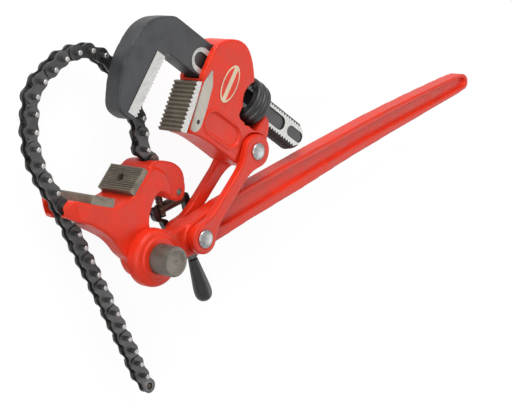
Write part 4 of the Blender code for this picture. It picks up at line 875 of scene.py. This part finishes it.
def make_trunnion(sizes):
    """The casting: its plate and bulb are made soft, then bored, slotted and seated."""
    reach, half = TRUNNION_REACH, TRUNNION_HALF
    corner, relief_corner, bulb_corner, bulb_rim = 0.0045, 0.008, 0.006, 0.0055
    relief_start, relief_end = 0.030, 0.055
    taper_start, taper_end, horn_end, horn_half = -0.066, -0.079, -0.12, 0.013
    well_radius, well_top, well_slot, stem_room = 0.0098, reach * 1.2, 0.005, 0.0043
    link_room, link_length, ear_half = PLATE_RADIUS + 0.0012, 0.032, 0.010
    hole_floor, hole_top = -0.0062, 0.004

    outline = (scaled(TRUNNION_TOP, reach)
               + arc(0, 0, LUG_RADIUS, radians(66), radians(-190), 48)
               + scaled(TRUNNION_LIP, reach))
    body = prism(eased(outline, corner), -half, half)
    back = [(-FAR, LUG_BACK), (relief_start, LUG_BACK), (relief_end, -half - 0.001),
            (relief_end, -FAR), (-FAR, -FAR)]
    cutters = [moved(prism(eased(back, relief_corner), -FAR, LUG_RADIUS * 1.2), OUTLINE_IN_YZ)]
    for side in (1, -1):
        taper = [(taper_start, side * half * 1.2), (taper_end, side * horn_half),
                 (horn_end, side * horn_half), (horn_end, side * half * 1.2)]
        cutters.append(moved(prism(taper, -FAR, 0), OUTLINE_IN_XZ))
    bulb = prism(eased(scaled(BULB, reach), bulb_corner), -BULB_HALF, BULB_HALF, bulb_rim, 4)
    body = join(cut(body, *cutters), bulb)

    heading = in_tool("chain_pivot_02") - in_tool("chain_pivot_01")
    room = moved(box((0, -link_room, -SLOT_HALF), (link_length, link_room, SLOT_HALF)),
                 standing((SCREW_X, EYE_Y, 0), heading))
    body = cut(body, prism(scaled(EAR_GAP, reach), -ear_half, ear_half),
               screw_bore(well_radius, WELL_FLOOR_Y, well_top, 96),
               box((SCREW_X - well_slot, WELL_FLOOR_Y, -POCKET_HALF),
                   (SCREW_X + well_slot, well_top, POCKET_HALF)), room, *slot_cutters())
    body = softened(body, sizes.casting_grid, sizes.softness)

    ear_place = scaled([EAR_PIN], reach)[0]
    body = cut(body, bore(PIN_RADIUS + GAP), bore(EAR_PIN_RADIUS + GAP, *ear_place, 48),
               screw_bore(stem_room, 0.2 * reach, well_top), *slot_cutters())
    long, thick, wide = INSERT_SIZE
    for side in SEATS:
        seat = box((-long / 2 - GAP, -SEAT_DROP - GAP, -wide / 2 - GAP),
                   (long / 2 + GAP, thick * 2, wide / 2 + GAP))
        hole = rod(SEAT_HOLE_RADIUS, (0, hole_floor, 0), (0, hole_top, 0), 32)
        body = cut(body, moved(seat, seat_frame(side)), moved(hole, seat_frame(side)))
    finished(body, "trunnion_body", "paint", TOOL, "trunnion", "trunnion_casting")


def make_seat_inserts(sizes, rows):
    """The two ridged blocks of the seat, each held by a screw in a sunk hole."""
    long, thick, wide = INSERT_SIZE
    half = long / 2
    count, depth = sizes.insert_teeth, sizes.insert_depth
    step, top, sunk = long / count, thick - SEAT_DROP, 0.0004
    head_room, head_height, head_radius = 0.0040, 0.0026, 0.0036
    stem_radius, stem_length, hexagon_radius = 0.0024, 0.0150, 0.0020
    floor = top - head_height - depth * 2
    rim = floor + 0.0003
    for side in SEATS:
        block = prism([(-half, -SEAT_DROP), (half, -SEAT_DROP), (half, top - depth),
                       (-half, top - depth)], -wide / 2, wide / 2)
        ridge = prism([(-step * 0.5, -sunk), (step * 0.5, -sunk), (step * 0.5, 0),
                       (step * 0.16, depth), (-step * 0.10, depth), (-step * 0.5, 0)],
                      -wide / 2, wide / 2)
        block = toothed(block, rows, ridge, count, (-half + step / 2, top - depth, 0),
                        (step, 0, 0), "insert")
        block = cut(block, rod(SEAT_HOLE_RADIUS, (0, -thick / 2, 0), (0, floor, 0), 32),
                    rod(head_room, (0, floor - GAP, 0), (0, thick * 2, 0), 48), solver="EXACT")
        finished(block, f"seat_insert_{side}", "insert", TOOL @ seat_frame(side), "trunnion",
                 f"trunnion_jaw_{side}", angle=25)
        screw = turned([(stem_radius, thick - stem_length), (stem_radius, floor),
                        (head_radius - 0.0002, floor), (head_radius, rim),
                        (head_radius, floor + 0.0022),
                        (head_radius - 0.0004, floor + head_height)], axis=(0, 1, 0), steps=48)
        hexagon = moved(prism(arc(0, 0, hexagon_radius, 0, tau, 6)[:6], floor + 0.0008, thick),
                        Matrix.Rotation(-pi / 2, 4, "X"))
        finished(cut(screw, hexagon), f"seat_screw_{side}", "screw", TOOL @ seat_frame(side),
                 "trunnion", f"jaw_screw_{side}")


def make_pins():
    chamfer, head, head_height, dish, centre = 0.0012, 0.0180, 0.0053, 0.0105, 0.0020
    foot = LUG_BACK - head_height
    pin = turned([(head - chamfer, foot), (head, foot + chamfer), (head, LUG_BACK - GAP),
                  (PIN_RADIUS, LUG_BACK - GAP), (PIN_RADIUS, PIN_TOP - chamfer),
                  (PIN_RADIUS - 0.0003, PIN_TOP - 0.0005), (PIN_RADIUS - chamfer, PIN_TOP),
                  (dish + 0.0003, PIN_TOP), (dish, PIN_TOP - 0.0002),
                  (centre, PIN_TOP - 0.0002), (centre - 0.0008, PIN_TOP - 0.0008),
                  (0, PIN_TOP - 0.0010)])
    finished(pin, "pivot_pin", "pin", TOOL, "trunnion", "trunnion_pin")
    x, y = scaled([EAR_PIN], TRUNNION_REACH)[0]
    radius, half, edge = EAR_PIN_RADIUS, BULB_HALF, 0.0004
    ear = turned([(radius - edge, -half), (radius, edge - half), (radius, half - edge),
                  (radius - edge, half)], (x, y, 0), steps=48)
    finished(ear, "bulb_pin", "pin", TOOL, "trunnion", "ear_pin")


def make_handle(sizes):
    """The I-section beam, soft from the mould, with its turned hub and link block."""
    half, tall, web_depth, tip_corner = 0.0098, HANDLE_LENGTH, 0.0052, 0.014
    neck_corner, web_corner, hub_corner = 0.010, 0.004, 0.0014
    block_radius, block_room, block_edge = 0.0165, 0.0180, 0.0005
    low, high, face = HANDLE_PLANE - half, HANDLE_PLANE + half, HANDLE_PLANE + 0.0130
    pivot = (LINK_PIVOT_X, 0, 0)
    tip = arc(tall * 0.9715, tall * 0.0105, tall * 0.0185, radians(-76), radians(76), 16)
    beam = prism(eased(scaled(HANDLE_BEAM, tall) + tip, tip_corner), low, high)
    neck = prism(eased(scaled(HANDLE_NECK, tall), neck_corner), low, high)
    web = eased(scaled(HANDLE_WEB, tall), web_corner)
    beam = cut(join(beam, neck), prism(web, high - web_depth, high + web_depth),
               prism(web, low - web_depth, low + web_depth))
    block = turned([(block_radius, HANDLE_PLANE * 2 - face), (block_radius, face)], pivot)
    boss_radius, boss_shoulder, boss_step, boss_top = HUB_RADIUS - 0.0002, 0.0345, 0.024, 0.0384
    boss = turned([(boss_radius, HUB_BACK), (boss_radius, boss_shoulder), (boss_step, boss_top)])
    body = softened(join(beam, block, boss), sizes.casting_grid, sizes.softness)

    hub = turned(eased(HUB_PROFILE, hub_corner, closed=False))
    seat = turned([(block_radius, face - 0.0010), (block_radius, face),
                   (block_radius - block_edge, face)], pivot)
    body = cut(join(body, hub, seat),
               rod(HUB_RADIUS + GAP, (0, 0, -THROUGH), (0, 0, HUB_BACK)),
               rod(PIN_RADIUS + GAP, (0, 0, 0), (0, 0, PIN_TOP)),
               rod(RIVET_RADIUS + GAP, pivot, (LINK_PIVOT_X, 0, PIN_TOP)),
               rod(block_room, (LINK_PIVOT_X, 0, face), (LINK_PIVOT_X, 0, PIN_TOP)))
    finished(body, "handle_body", "paint", TOOL, "handle", "handle_casting")


def make_links():
    eyes, waist, mouth, corner, rim = (0.0156, 0.0170), 0.0070, radians(68), 0.012, 0.0014
    grid, passes = 0.0008, 12
    outline = eased(two_eyed(LINK_LENGTH, eyes, waist, 1.25, mouth, 40), corner)
    for name, node_name, low in (("link_front", "front_link", LINK_FACE),
                                 ("link_rear", "rear_link", -LINK_FACE - LINK_THICKNESS)):
        bar = softened(prism(outline, low, low + LINK_THICKNESS, rim, 3), grid, passes)
        bar = cut(bar, bore(RIVET_RADIUS + GAP), bore(RIVET_RADIUS + GAP, LINK_LENGTH))
        finished(bar, name, "paint", LINKS, "links", node_name)


def make_rivets(sizes):
    """Domed rivets, with an attribute that draws the streaks out from the dome's middle."""
    seat, dome, edge = LINK_FACE + LINK_THICKNESS + GAP, sizes.dome, 0.0004
    rear_face, streak_width, ring_width = 0.0002 - seat, 5, 90
    for name, head, x, domed in (("lower", 0.0092, 0, False), ("upper", 0.0086, LINK_LENGTH, True)):
        front = [(RIVET_RADIUS, seat), (head - 0.0003, seat), (head, seat + edge)]
        front += [(head * cos(lean), seat + edge + (dome - edge) * sin(lean))
                  for lean in [pi / 2 * step / 10 for step in range(1, 10)]] + [(0, seat + dome)]
        rear = ([(radius, -height) for radius, height in reversed(front)] if domed
                else [(0, rear_face), (RIVET_RADIUS, rear_face)])
        rivet = turned(rear + front, steps=64)
        streak = rivet.data.attributes.new("dome", "FLOAT_VECTOR", "POINT")
        for index, vertex in enumerate(rivet.data.vertices):
            reach = hypot(vertex.co.x, vertex.co.y) or 1.0
            streak.data[index].vector = (vertex.co.x / reach * streak_width,
                                         vertex.co.y / reach * streak_width, reach * ring_width)
        finished(rivet, f"rivet_{name}", "rivet", LINKS @ Matrix.Translation((x, 0, 0)), "links",
                 f"{name}_rivet")


def tunnel_cutter(below=0.0):
    """The shank's passage through the head, which can be made deeper below."""
    return box((-FAR, TUNNEL[0] - below, -SHANK_HALF - GAP), (FAR, TUNNEL[1], SHANK_HALF + GAP))


def make_housing(sizes):
    """The head's casting, grooved for the links and open to the shank, key and springs."""
    half, size = HEAD_HALF, HOUSING_LENGTH
    corner, rim, grid, key_corner = 0.006, 0.0024, 0.0009, 0.0025
    groove_radius, groove_floor, groove_corner = 0.0182, 0.0130, 0.003
    groove_start, groove_end, groove_low, groove_top = -0.0187, 0.055, -0.034, 0.0153
    pocket_reach, pocket_half, border, raised, sunk = 0.0249, 0.0104, 0.0030, 0.0008, 0.0018
    leaf_x, leaf_half, leaf_top, leaf_side = -0.55 * size, 0.0236, 0.0676, 0.0063
    coil_room, key_clearance = 0.0051, 1.012

    body = prism(eased(scaled(HOUSING, size), corner), -half, half, rim, 3)
    x, y = scaled([OVAL_POCKET], size)[0]
    body = join(body, prism(long_hole(x - pocket_reach - border, x + pocket_reach + border, y,
                                      pocket_half + border), 0, half + raised))
    groove = eased([(groove_start, groove_low)] + arc(0, 0, groove_radius, pi, radians(58), 24)
                   + [(groove_end, groove_top), (groove_end, groove_low)], groove_corner)
    pocket = long_hole(x - pocket_reach, x + pocket_reach, y, pocket_half)
    nut_mouth = turned([(0.0140, -0.0440), (0.0320, -0.0255), (0.0320, -0.0215)],
                       (0, SHANK_Y, 0), (1, 0, 0), 64)
    body = cut(body, prism(groove, groove_floor, THROUGH), prism(groove, -THROUGH, -groove_floor),
               prism(pocket, half - sunk, half * 2), nut_mouth)
    body = softened(body, grid, sizes.softness)

    centre = Vector((sum(x for x, _ in KEY), sum(y for _, y in KEY))) / len(KEY)
    key_room = [tuple((Vector(point) - centre) * key_clearance + centre) for point in KEY]
    coil_x, coil_y = scaled([COIL_PLACE], size)[0]
    body = cut(body, tunnel_cutter(),
               box((leaf_x - leaf_half, SHANK_Y, -leaf_side),
                   (leaf_x + leaf_half, leaf_top, leaf_side)),
               prism(eased(scaled(key_room, size), key_corner), -THROUGH, THROUGH),
               bore(RIVET_RADIUS + GAP),
               rod(coil_room, (coil_x, coil_y, 0), (coil_x, TUNNEL[0] + 0.004, 0), 48))
    finished(body, "housing_body", "paint", HEAD, "head", "head_housing")


def make_heel(sizes, rows):
    """The key plate with its pin, and the toothed heel jaw that it holds."""
    size, corner, proud, hole_radius = HOUSING_LENGTH, 0.0025, 0.0001, 0.0024
    plate = prism(eased(scaled(KEY, size), corner), -HEAD_HALF - proud, HEAD_HALF + proud,
                  sizes.edge)
    x, y = scaled([KEY_PIN], size)[0]
    plate = cut(plate, tunnel_cutter(GAP), bore(hole_radius, x, y, 48))
    finished(plate, "key_plate", "key", HEAD, "head", "heel_key")
    radius, half, edge = hole_radius - GAP, 0.0160, 0.0004
    pin = turned([(radius - edge, -half), (radius, edge - half), (radius, half - edge),
                  (radius - edge, half)], (x, y, 0), steps=32)
    finished(pin, "key_pin", "black", HEAD, "head", "heel_jaw_pin")

    top, bottom = (Vector(point) for point in scaled(HEEL_TEETH, size))
    count, depth, wide, clear = sizes.heel_teeth, sizes.heel_depth, 0.0160, 0.0006
    step = (bottom - top) / count
    side = Vector((-step.y, step.x)).normalized() * depth
    sunk = side.normalized() * 0.0004
    back = scaled(HEEL_BACK, size, x=-clear)
    block = prism([tuple(top + side), tuple(bottom + side)] + back, -wide, wide)
    ridge = prism([tuple(sunk), tuple(sunk + step), tuple(step), tuple(step * 0.62 - side),
                   tuple(step * 0.48 - side), (0, 0)], -wide, wide)
    block = toothed(block, rows, ridge, count, (*(top + side), 0), (*step, 0), "insert")
    finished(block, "heel_block", "insert machined", HEAD, "head", "heel_jaw",
             angle=25, rule=lambda centre, normal: int(normal.z > 0.8))


def make_label():
    """A bare oval plate with a raised rim and bar, and two painted fields."""
    centre = Vector(scaled([LABEL_PLACE], HOUSING_LENGTH)[0])
    long, wide, band, thick, edge = 0.0200, 0.0100, 0.0026, 0.0005, 0.00015
    field_share, field_floor, field_top = 0.88, 0.0003, 0.00058

    def oval(share, steps=72):
        return [(wide * share * sin(tau * i / steps), long * share * cos(tau * i / steps))
                for i in range(steps)]
    plate = prism(oval(1.0), 0, thick, edge, 2)
    for start, end in ((band, wide), (-wide, -band)):
        field = prism(oval(field_share), field_floor, field_top)
        plate = join(plate, keep(field, box((start, -long, 0), (end, long, THROUGH))))
    finished(plate, "label_oval", "cream paint",
             HEAD @ Matrix.Translation((*centre, HEAD_HALF + GAP)), "head",
             "label_plate", rule=lambda centre, normal: int(centre.z > thick + 0.00002))


def make_hook(sizes, rows):
    """The forged hook, joined to its flattened threaded shank and its machined teeth."""
    reach, half, (low_y, high_y) = HOOK_REACH, 0.0102, SHANK_SIDES
    corner, rim, shank_start, thread_end, passes = 0.010, 0.0045, -0.078, 0.0556, 9
    flat_start, flat_end, flat_half = -0.1188, -0.050, 0.0127
    backing, sunk_depth, crest_start, crest_end = 0.0123, 0.0004, 0.42, 0.58
    pocket_half, pocket_start, pocket_end = 0.0074, -0.116, 0.065
    end, top = (Vector(point) for point in scaled(HOOK_TEETH, reach))
    outline = ([(shank_start, high_y)] + scaled(HOOK, reach)
               + [tuple(end), tuple(top), (top.x, low_y), (shank_start, low_y)])
    body = softened(prism(eased(outline, corner), -half, half, rim, 4), sizes.forging_grid, passes)
    shank = moved(threaded(THREAD_START, thread_end, TAIL_END, THREAD_RADIUS, THREAD_DEPTH,
                           THREAD_PITCH), Matrix.Translation((0, SHANK_Y, 0)))
    shank = keep(shank, box((-FAR, -FAR, -SHANK_HALF), (FAR, FAR, SHANK_HALF)))
    flat = prism(long_hole(flat_start, flat_end, SHANK_Y, flat_half), -SHANK_HALF, SHANK_HALF,
                 0.0004)

    count, depth = sizes.hook_teeth, sizes.hook_depth
    step = (top - end) / count
    side = Vector((step.y, -step.x)).normalized() * depth
    sunk = side.normalized() * sunk_depth
    thick = Vector((backing, 0))
    root = [tuple(end - side), tuple(top - side), tuple(top - thick), tuple(end - thick)]
    ridge = prism([tuple(-sunk), (0, 0), tuple(side + step * crest_start),
                   tuple(side + step * crest_end), tuple(step), tuple(step - sunk)],
                  -SHANK_HALF, SHANK_HALF)
    teeth = toothed(prism(root, -SHANK_HALF, SHANK_HALF), rows, ridge, count,
                    (*(end - side), 0), (*step, 0), "machined")
    pockets = []
    for flip in (1, -1):
        for outline, deep in ((long_hole(-0.1156, 0.0323, SHANK_Y, pocket_half), 0.0016),
                              (long_hole(0.0379, 0.0635, SHANK_Y, 0.0058), 0.0010)):
            pockets.append(prism(outline, *sorted((flip * (SHANK_HALF - deep), flip * THROUGH))))
    body = cut(join(body, shank, flat, teeth), *pockets)

    def paint(centre, normal):
        facing = abs(normal.z) > 0.9
        if facing and abs(centre.z) > SHANK_HALF - 0.0002:
            return 1
        if (facing and abs(centre.y - SHANK_Y) < pocket_half
                and pocket_start < centre.x < pocket_end):
            return 2
        line = end.x + (top.x - end.x) * (centre.y - end.y) / (top.y - end.y)
        return int(end.y < centre.y < top.y and centre.x > line - depth * 1.2)

    finished(body, "hook_forging", "forging machined black", HEAD, "hook_jaw_body",
             "hook_jaw", rule=paint)


def make_nut():
    tall, radius, start, hole, corner = 0.0225, 0.0245, -0.0302, 0.0163, 0.0009
    low, groove, shoulder = radius - 0.0019, radius - 0.0017, radius - 0.0005
    profile = [(hole, 0), (radius - 0.0023, 0), (shoulder, tall * 0.06),
               (radius - 0.0002, tall * 0.26), (low, tall * 0.31), (low, tall * 0.38),
               (radius, tall * 0.46), (radius, tall * 0.60), (groove, tall * 0.68),
               (groove, tall * 0.75), (shoulder, tall * 0.80), (radius - 0.0013, tall * 0.92),
               (radius - 0.0045, tall), (hole, tall)]
    nut = turned(eased(profile, corner, closed=False), (start, SHANK_Y, 0), (1, 0, 0))
    nut = cut(nut, rod(hole, (-THROUGH, SHANK_Y, 0), (THROUGH, SHANK_Y, 0)))
    finished(nut, "shank_nut", "black", HEAD, "nut", "adjusting_nut")


def make_springs(sizes):
    x, y = scaled([COIL_PLACE], HOUSING_LENGTH)[0]
    coil = grown(coil_tree(), Radius=sizes.coil_radius, Wire=sizes.coil_wire, Turns=4.0,
                 Height=0.010, Finish=bpy.data.materials["spring"])
    moved(coil, Matrix.Translation((x, y + sizes.coil_wire + GAP, 0))
          @ Matrix.Rotation(-pi / 2, 4, "X"))
    finished(coil, "shank_coil", "spring", HEAD, "head", "coil_spring")
    for place in frame["nodes"]["leaf_spring"].material_slots:
        place.material = bpy.data.materials["spring"]


def chain_parts(outer):
    """The two plates of a link, and the post at each of its ends: a pin or a bushed roller."""
    face = CHAIN_FACE if outer else CHAIN_FACE - PLATE_THICKNESS - GAP
    corner, edge, hole = 0.0006, 0.0003, CHAIN_PIN_RADIUS + GAP
    outline = eased(two_eyed(CHAIN_PITCH, (PLATE_RADIUS, PLATE_RADIUS), PLATE_WAIST, 0.95,
                             radians(66), 14), corner, steps=1)
    plates = join(prism(outline, face - PLATE_THICKNESS, face, edge, 1),
                  prism(outline, -face, PLATE_THICKNESS - face, edge, 1))
    if outer:
        tip, radius = CHAIN_PIN_END, CHAIN_PIN_RADIUS
        post = turned([(0, -tip), (radius * 0.72, -tip), (radius, corner - tip),
                       (radius, tip - corner), (radius * 0.72, tip), (0, tip)], steps=20)
        return plates, post
    plates = cut(plates, bore(hole, steps=24), bore(hole, CHAIN_PITCH, steps=24))
    wall, bush = face - PLATE_THICKNESS, ROLLER_RADIUS * 0.8
    post = turned([(hole, -face), (bush, -face), (bush, -wall), (ROLLER_RADIUS, -wall),
                   (ROLLER_RADIUS, wall), (bush, wall), (bush, face), (hole, face)], steps=24)
    return plates, cut(post, bore(hole, steps=24))


def make_chain():
    """Every link of the chain, laid by Geometry Nodes from its own pivot to the next."""
    tree = chain_link_tree()
    parts = {outer: chain_parts(outer) for outer in (False, True)}
    look = bpy.data.materials
    names = sorted(name for name in JOINTS if name.startswith("chain_pivot_"))
    places = [joint_place(name) for name in names]
    low, high = (Vector(corner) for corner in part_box(f"chain_link_{len(names):02d}"))
    places.append(places[-1] + ((low + high) / 2 - places[-1]) * 2)
    for index in range(len(names)):
        way = places[index + 1] - places[index]
        outer = bool(index % 2)
        plates, post = parts[outer]
        link = grown(tree, Plates=plates, Post=post, Place=places[index],
                     Heading=(0.0, 0.0, atan2(way.y, way.x)), **{
                         "Plate Finish": look["chain"],
                         "Post Finish": look["chain" if outer else "roller"],
                         "End Finish": look["pin_end" if outer else "roller"]})
        for name in ("post", "pin_end"):
            link.data.attributes.remove(link.data.attributes[name])
        label = f"{index + 1:02d}"
        placed(link, f"roller_link_{label}", f"chain_{label}", f"chain_link_{label}")
    for part in (*parts[False], *parts[True]):
        bpy.data.objects.remove(part)


def make_chain_screw():
    stem_end, stem_radius, depth, pitch = 0.0450, 0.0040, 0.0006, 0.0030
    neck, neck_start, outer, eye, mouth, edge = 0.0034, 0.0440, 0.0076, 0.0056, 0.0046, 0.0005
    pin_radius, head = 0.0025, 0.0004
    floor = WELL_FLOOR_Y + 0.0009
    stem = moved(threaded(SCREW_END_Y, stem_end, stem_end + 0.0020, stem_radius, depth, pitch, 32),
                 Matrix.Translation((SCREW_X, 0, 0)) @ Matrix.Rotation(pi / 2, 4, "Z"))
    clevis = turned([(neck, neck_start), (neck, floor), (outer - edge, floor),
                     (outer, floor + edge), (outer, EYE_Y)], (SCREW_X, 0, 0), (0, 1, 0), 64)
    clevis = join(clevis, rod(eye, (SCREW_X, EYE_Y, -outer), (SCREW_X, EYE_Y, outer), 48))
    clevis = cut(clevis, box((0, EYE_Y - PLATE_RADIUS - GAP, -mouth), (FAR, FAR, mouth)))
    pin = turned([(pin_radius - head, -outer - edge - head), (pin_radius, -outer - edge),
                  (pin_radius, outer + edge), (pin_radius - head, outer + edge + head)],
                 (SCREW_X, EYE_Y, 0), steps=32)
    finished(join(clevis, stem, pin), "tension_screw", "screw", TOOL, "screw",
             "chain_screw")


def make_lever():
    """The cross barrel, the fork that straddles it and the tapered grip."""
    start, end = SCREW_X - BARREL_SIDES[0], SCREW_X + BARREL_SIDES[1]
    spigot, radius, edge, chamfer, reach = SPIGOT_RADIUS, BARREL_RADIUS, 0.0005, 0.0003, 0.0070
    stem_hole, stem_room, stem_room_end = 0.0043, 0.0045, 0.0183
    barrel = turned([(spigot - chamfer, start - reach), (spigot, start - reach + chamfer),
                     (spigot, start), (radius - edge, start), (radius, start + edge),
                     (radius, end - edge), (radius - edge, end), (spigot, end),
                     (spigot, end + reach - chamfer), (spigot - chamfer, end + reach)],
                    (0, BARREL_Y, 0), (1, 0, 0), 64)
    barrel = cut(barrel, screw_bore(stem_hole, 0, EYE_Y))
    finished(barrel, "cross_barrel", "screw", TOOL, "barrel", "barrel_nut")

    corner, rim, grid, passes = 0.004, 0.0006, 0.0005, 5
    outline = eased(scaled(FORK, FORK_WIDTH, SCREW_X, BARREL_Y), corner)
    fork = softened(prism(outline, -FORK_HALF, FORK_HALF, rim, 2), grid, passes)
    fork = cut(fork, rod(spigot + GAP, (0, BARREL_Y, 0), (FAR, BARREL_Y, 0), 32),
               rod(radius + GAP, (start - GAP, BARREL_Y, 0), (end + GAP, BARREL_Y, 0), 64),
               screw_bore(stem_room, stem_room_end, EYE_Y))
    finished(fork, "lever_yoke", "black", TOOL, "lever", "lever_fork")

    x, y = scaled([GRIP_START], FORK_WIDTH, SCREW_X, BARREL_Y)[0]
    profile = [(0.0046, GAP), (0.0052, 0.0010)]
    profile += [(radius, GRIP_LENGTH * share) for radius, share in GRIP_PROFILE]
    grip = turned(eased(profile, 0.008, closed=False, steps=6), (x, y, 0),
                  (cos(GRIP_ANGLE), sin(GRIP_ANGLE), 0), 64)
    finished(grip, "lever_handle", "black", TOOL, "lever", "lever_grip")


# Operators, one for each piece or group of like pieces

class WrenchStep:
    """What every step shares."""
    bl_options = {"REGISTER", "UNDO"}


class WRENCH_OT_finishes(WrenchStep, bpy.types.Operator):
    """Make the paints, steels and black finishes"""
    bl_idname = "wrench.finishes"
    bl_label = "Finishes"

    def execute(self, context):
        make_finishes(context.scene.wrench_colours)
        return {"FINISHED"}


class WRENCH_OT_trunnion(WrenchStep, bpy.types.Operator):
    """Cast the trunnion with its horns, seats and bulb"""
    bl_idname = "wrench.trunnion"
    bl_label = "Trunnion"

    def execute(self, context):
        make_trunnion(context.scene.wrench_sizes)
        return {"FINISHED"}


class WRENCH_OT_inserts(WrenchStep, bpy.types.Operator):
    """Make the trunnion's toothed inserts and their screws"""
    bl_idname = "wrench.inserts"
    bl_label = "Seat Inserts"

    def execute(self, context):
        make_seat_inserts(context.scene.wrench_sizes, bpy.data.node_groups["ridge_row"])
        return {"FINISHED"}


class WRENCH_OT_pins(WrenchStep, bpy.types.Operator):
    """Turn the pivot pin and the bulb's pin"""
    bl_idname = "wrench.pins"
    bl_label = "Pins"

    def execute(self, context):
        make_pins()
        return {"FINISHED"}


class WRENCH_OT_handle(WrenchStep, bpy.types.Operator):
    """Cast the handle with its hub and link block"""
    bl_idname = "wrench.handle"
    bl_label = "Handle"

    def execute(self, context):
        make_handle(context.scene.wrench_sizes)
        return {"FINISHED"}


class WRENCH_OT_links(WrenchStep, bpy.types.Operator):
    """Make the pair of links and their domed rivets"""
    bl_idname = "wrench.links"
    bl_label = "Links and Rivets"

    def execute(self, context):
        make_links()
        make_rivets(context.scene.wrench_sizes)
        return {"FINISHED"}


class WRENCH_OT_housing(WrenchStep, bpy.types.Operator):
    """Cast the head's housing and lay the bare label and the springs"""
    bl_idname = "wrench.housing"
    bl_label = "Housing"

    def execute(self, context):
        make_housing(context.scene.wrench_sizes)
        make_label()
        make_springs(context.scene.wrench_sizes)
        return {"FINISHED"}


class WRENCH_OT_heel(WrenchStep, bpy.types.Operator):
    """Make the heel jaw, its key plate and its pin"""
    bl_idname = "wrench.heel"
    bl_label = "Heel Jaw"

    def execute(self, context):
        make_heel(context.scene.wrench_sizes, bpy.data.node_groups["ridge_row"])
        return {"FINISHED"}


class WRENCH_OT_hook(WrenchStep, bpy.types.Operator):
    """Forge the hook jaw with its teeth and threaded shank, and turn its nut"""
    bl_idname = "wrench.hook"
    bl_label = "Hook Jaw and Nut"

    def execute(self, context):
        make_hook(context.scene.wrench_sizes, bpy.data.node_groups["ridge_row"])
        make_nut()
        return {"FINISHED"}


class WRENCH_OT_chain(WrenchStep, bpy.types.Operator):
    """Link the roller chain and make its tension screw"""
    bl_idname = "wrench.chain"
    bl_label = "Chain"

    def execute(self, context):
        make_chain()
        make_chain_screw()
        return {"FINISHED"}


class WRENCH_OT_lever(WrenchStep, bpy.types.Operator):
    """Make the cross barrel and the forked lever with its grip"""
    bl_idname = "wrench.lever"
    bl_label = "Chain Lever"

    def execute(self, context):
        make_lever()
        return {"FINISHED"}


class WRENCH_OT_stage(WrenchStep, bpy.types.Operator):
    """Set the floor, the lamps, the world and the camera"""
    bl_idname = "wrench.stage"
    bl_label = "Stage"

    def execute(self, context):
        make_stage(context.scene.wrench_stage)
        return {"FINISHED"}


STEPS = (WRENCH_OT_finishes, WRENCH_OT_trunnion, WRENCH_OT_inserts, WRENCH_OT_pins,
         WRENCH_OT_handle, WRENCH_OT_links, WRENCH_OT_housing, WRENCH_OT_heel, WRENCH_OT_hook,
         WRENCH_OT_chain, WRENCH_OT_lever, WRENCH_OT_stage)


class WRENCH_PT_steps(bpy.types.Panel):
    """The wrench's pieces, in the order in which they are made"""
    bl_label = "Compound Leverage Wrench"
    bl_idname = "WRENCH_PT_steps"
    bl_space_type = "VIEW_3D"
    bl_region_type = "UI"
    bl_category = "Wrench"

    def draw(self, context):
        for step in STEPS:
            self.layout.operator(step.bl_idname)


GROUPS = {"wrench_colours": WrenchColours, "wrench_sizes": WrenchSizes,
          "wrench_stage": WrenchStage}


def register():
    for kind in (*GROUPS.values(), *STEPS, WRENCH_PT_steps):
        bpy.utils.register_class(kind)
    for name, kind in GROUPS.items():
        setattr(bpy.types.Scene, name, bpy.props.PointerProperty(type=kind))


def unregister():
    for name in GROUPS:
        delattr(bpy.types.Scene, name)
    for kind in (WRENCH_PT_steps, *reversed(STEPS), *reversed(tuple(GROUPS.values()))):
        bpy.utils.unregister_class(kind)


def main():
    register()
    for stray in ("Cube", "Light", "Camera"):
        if stray in bpy.data.objects:
            bpy.data.objects.remove(bpy.data.objects[stray])
    ridge_row_tree()
    for step in STEPS:
        _, name = step.bl_idname.split(".")
        getattr(bpy.ops.wrench, name)()


if __name__ == "__main__":
    main()
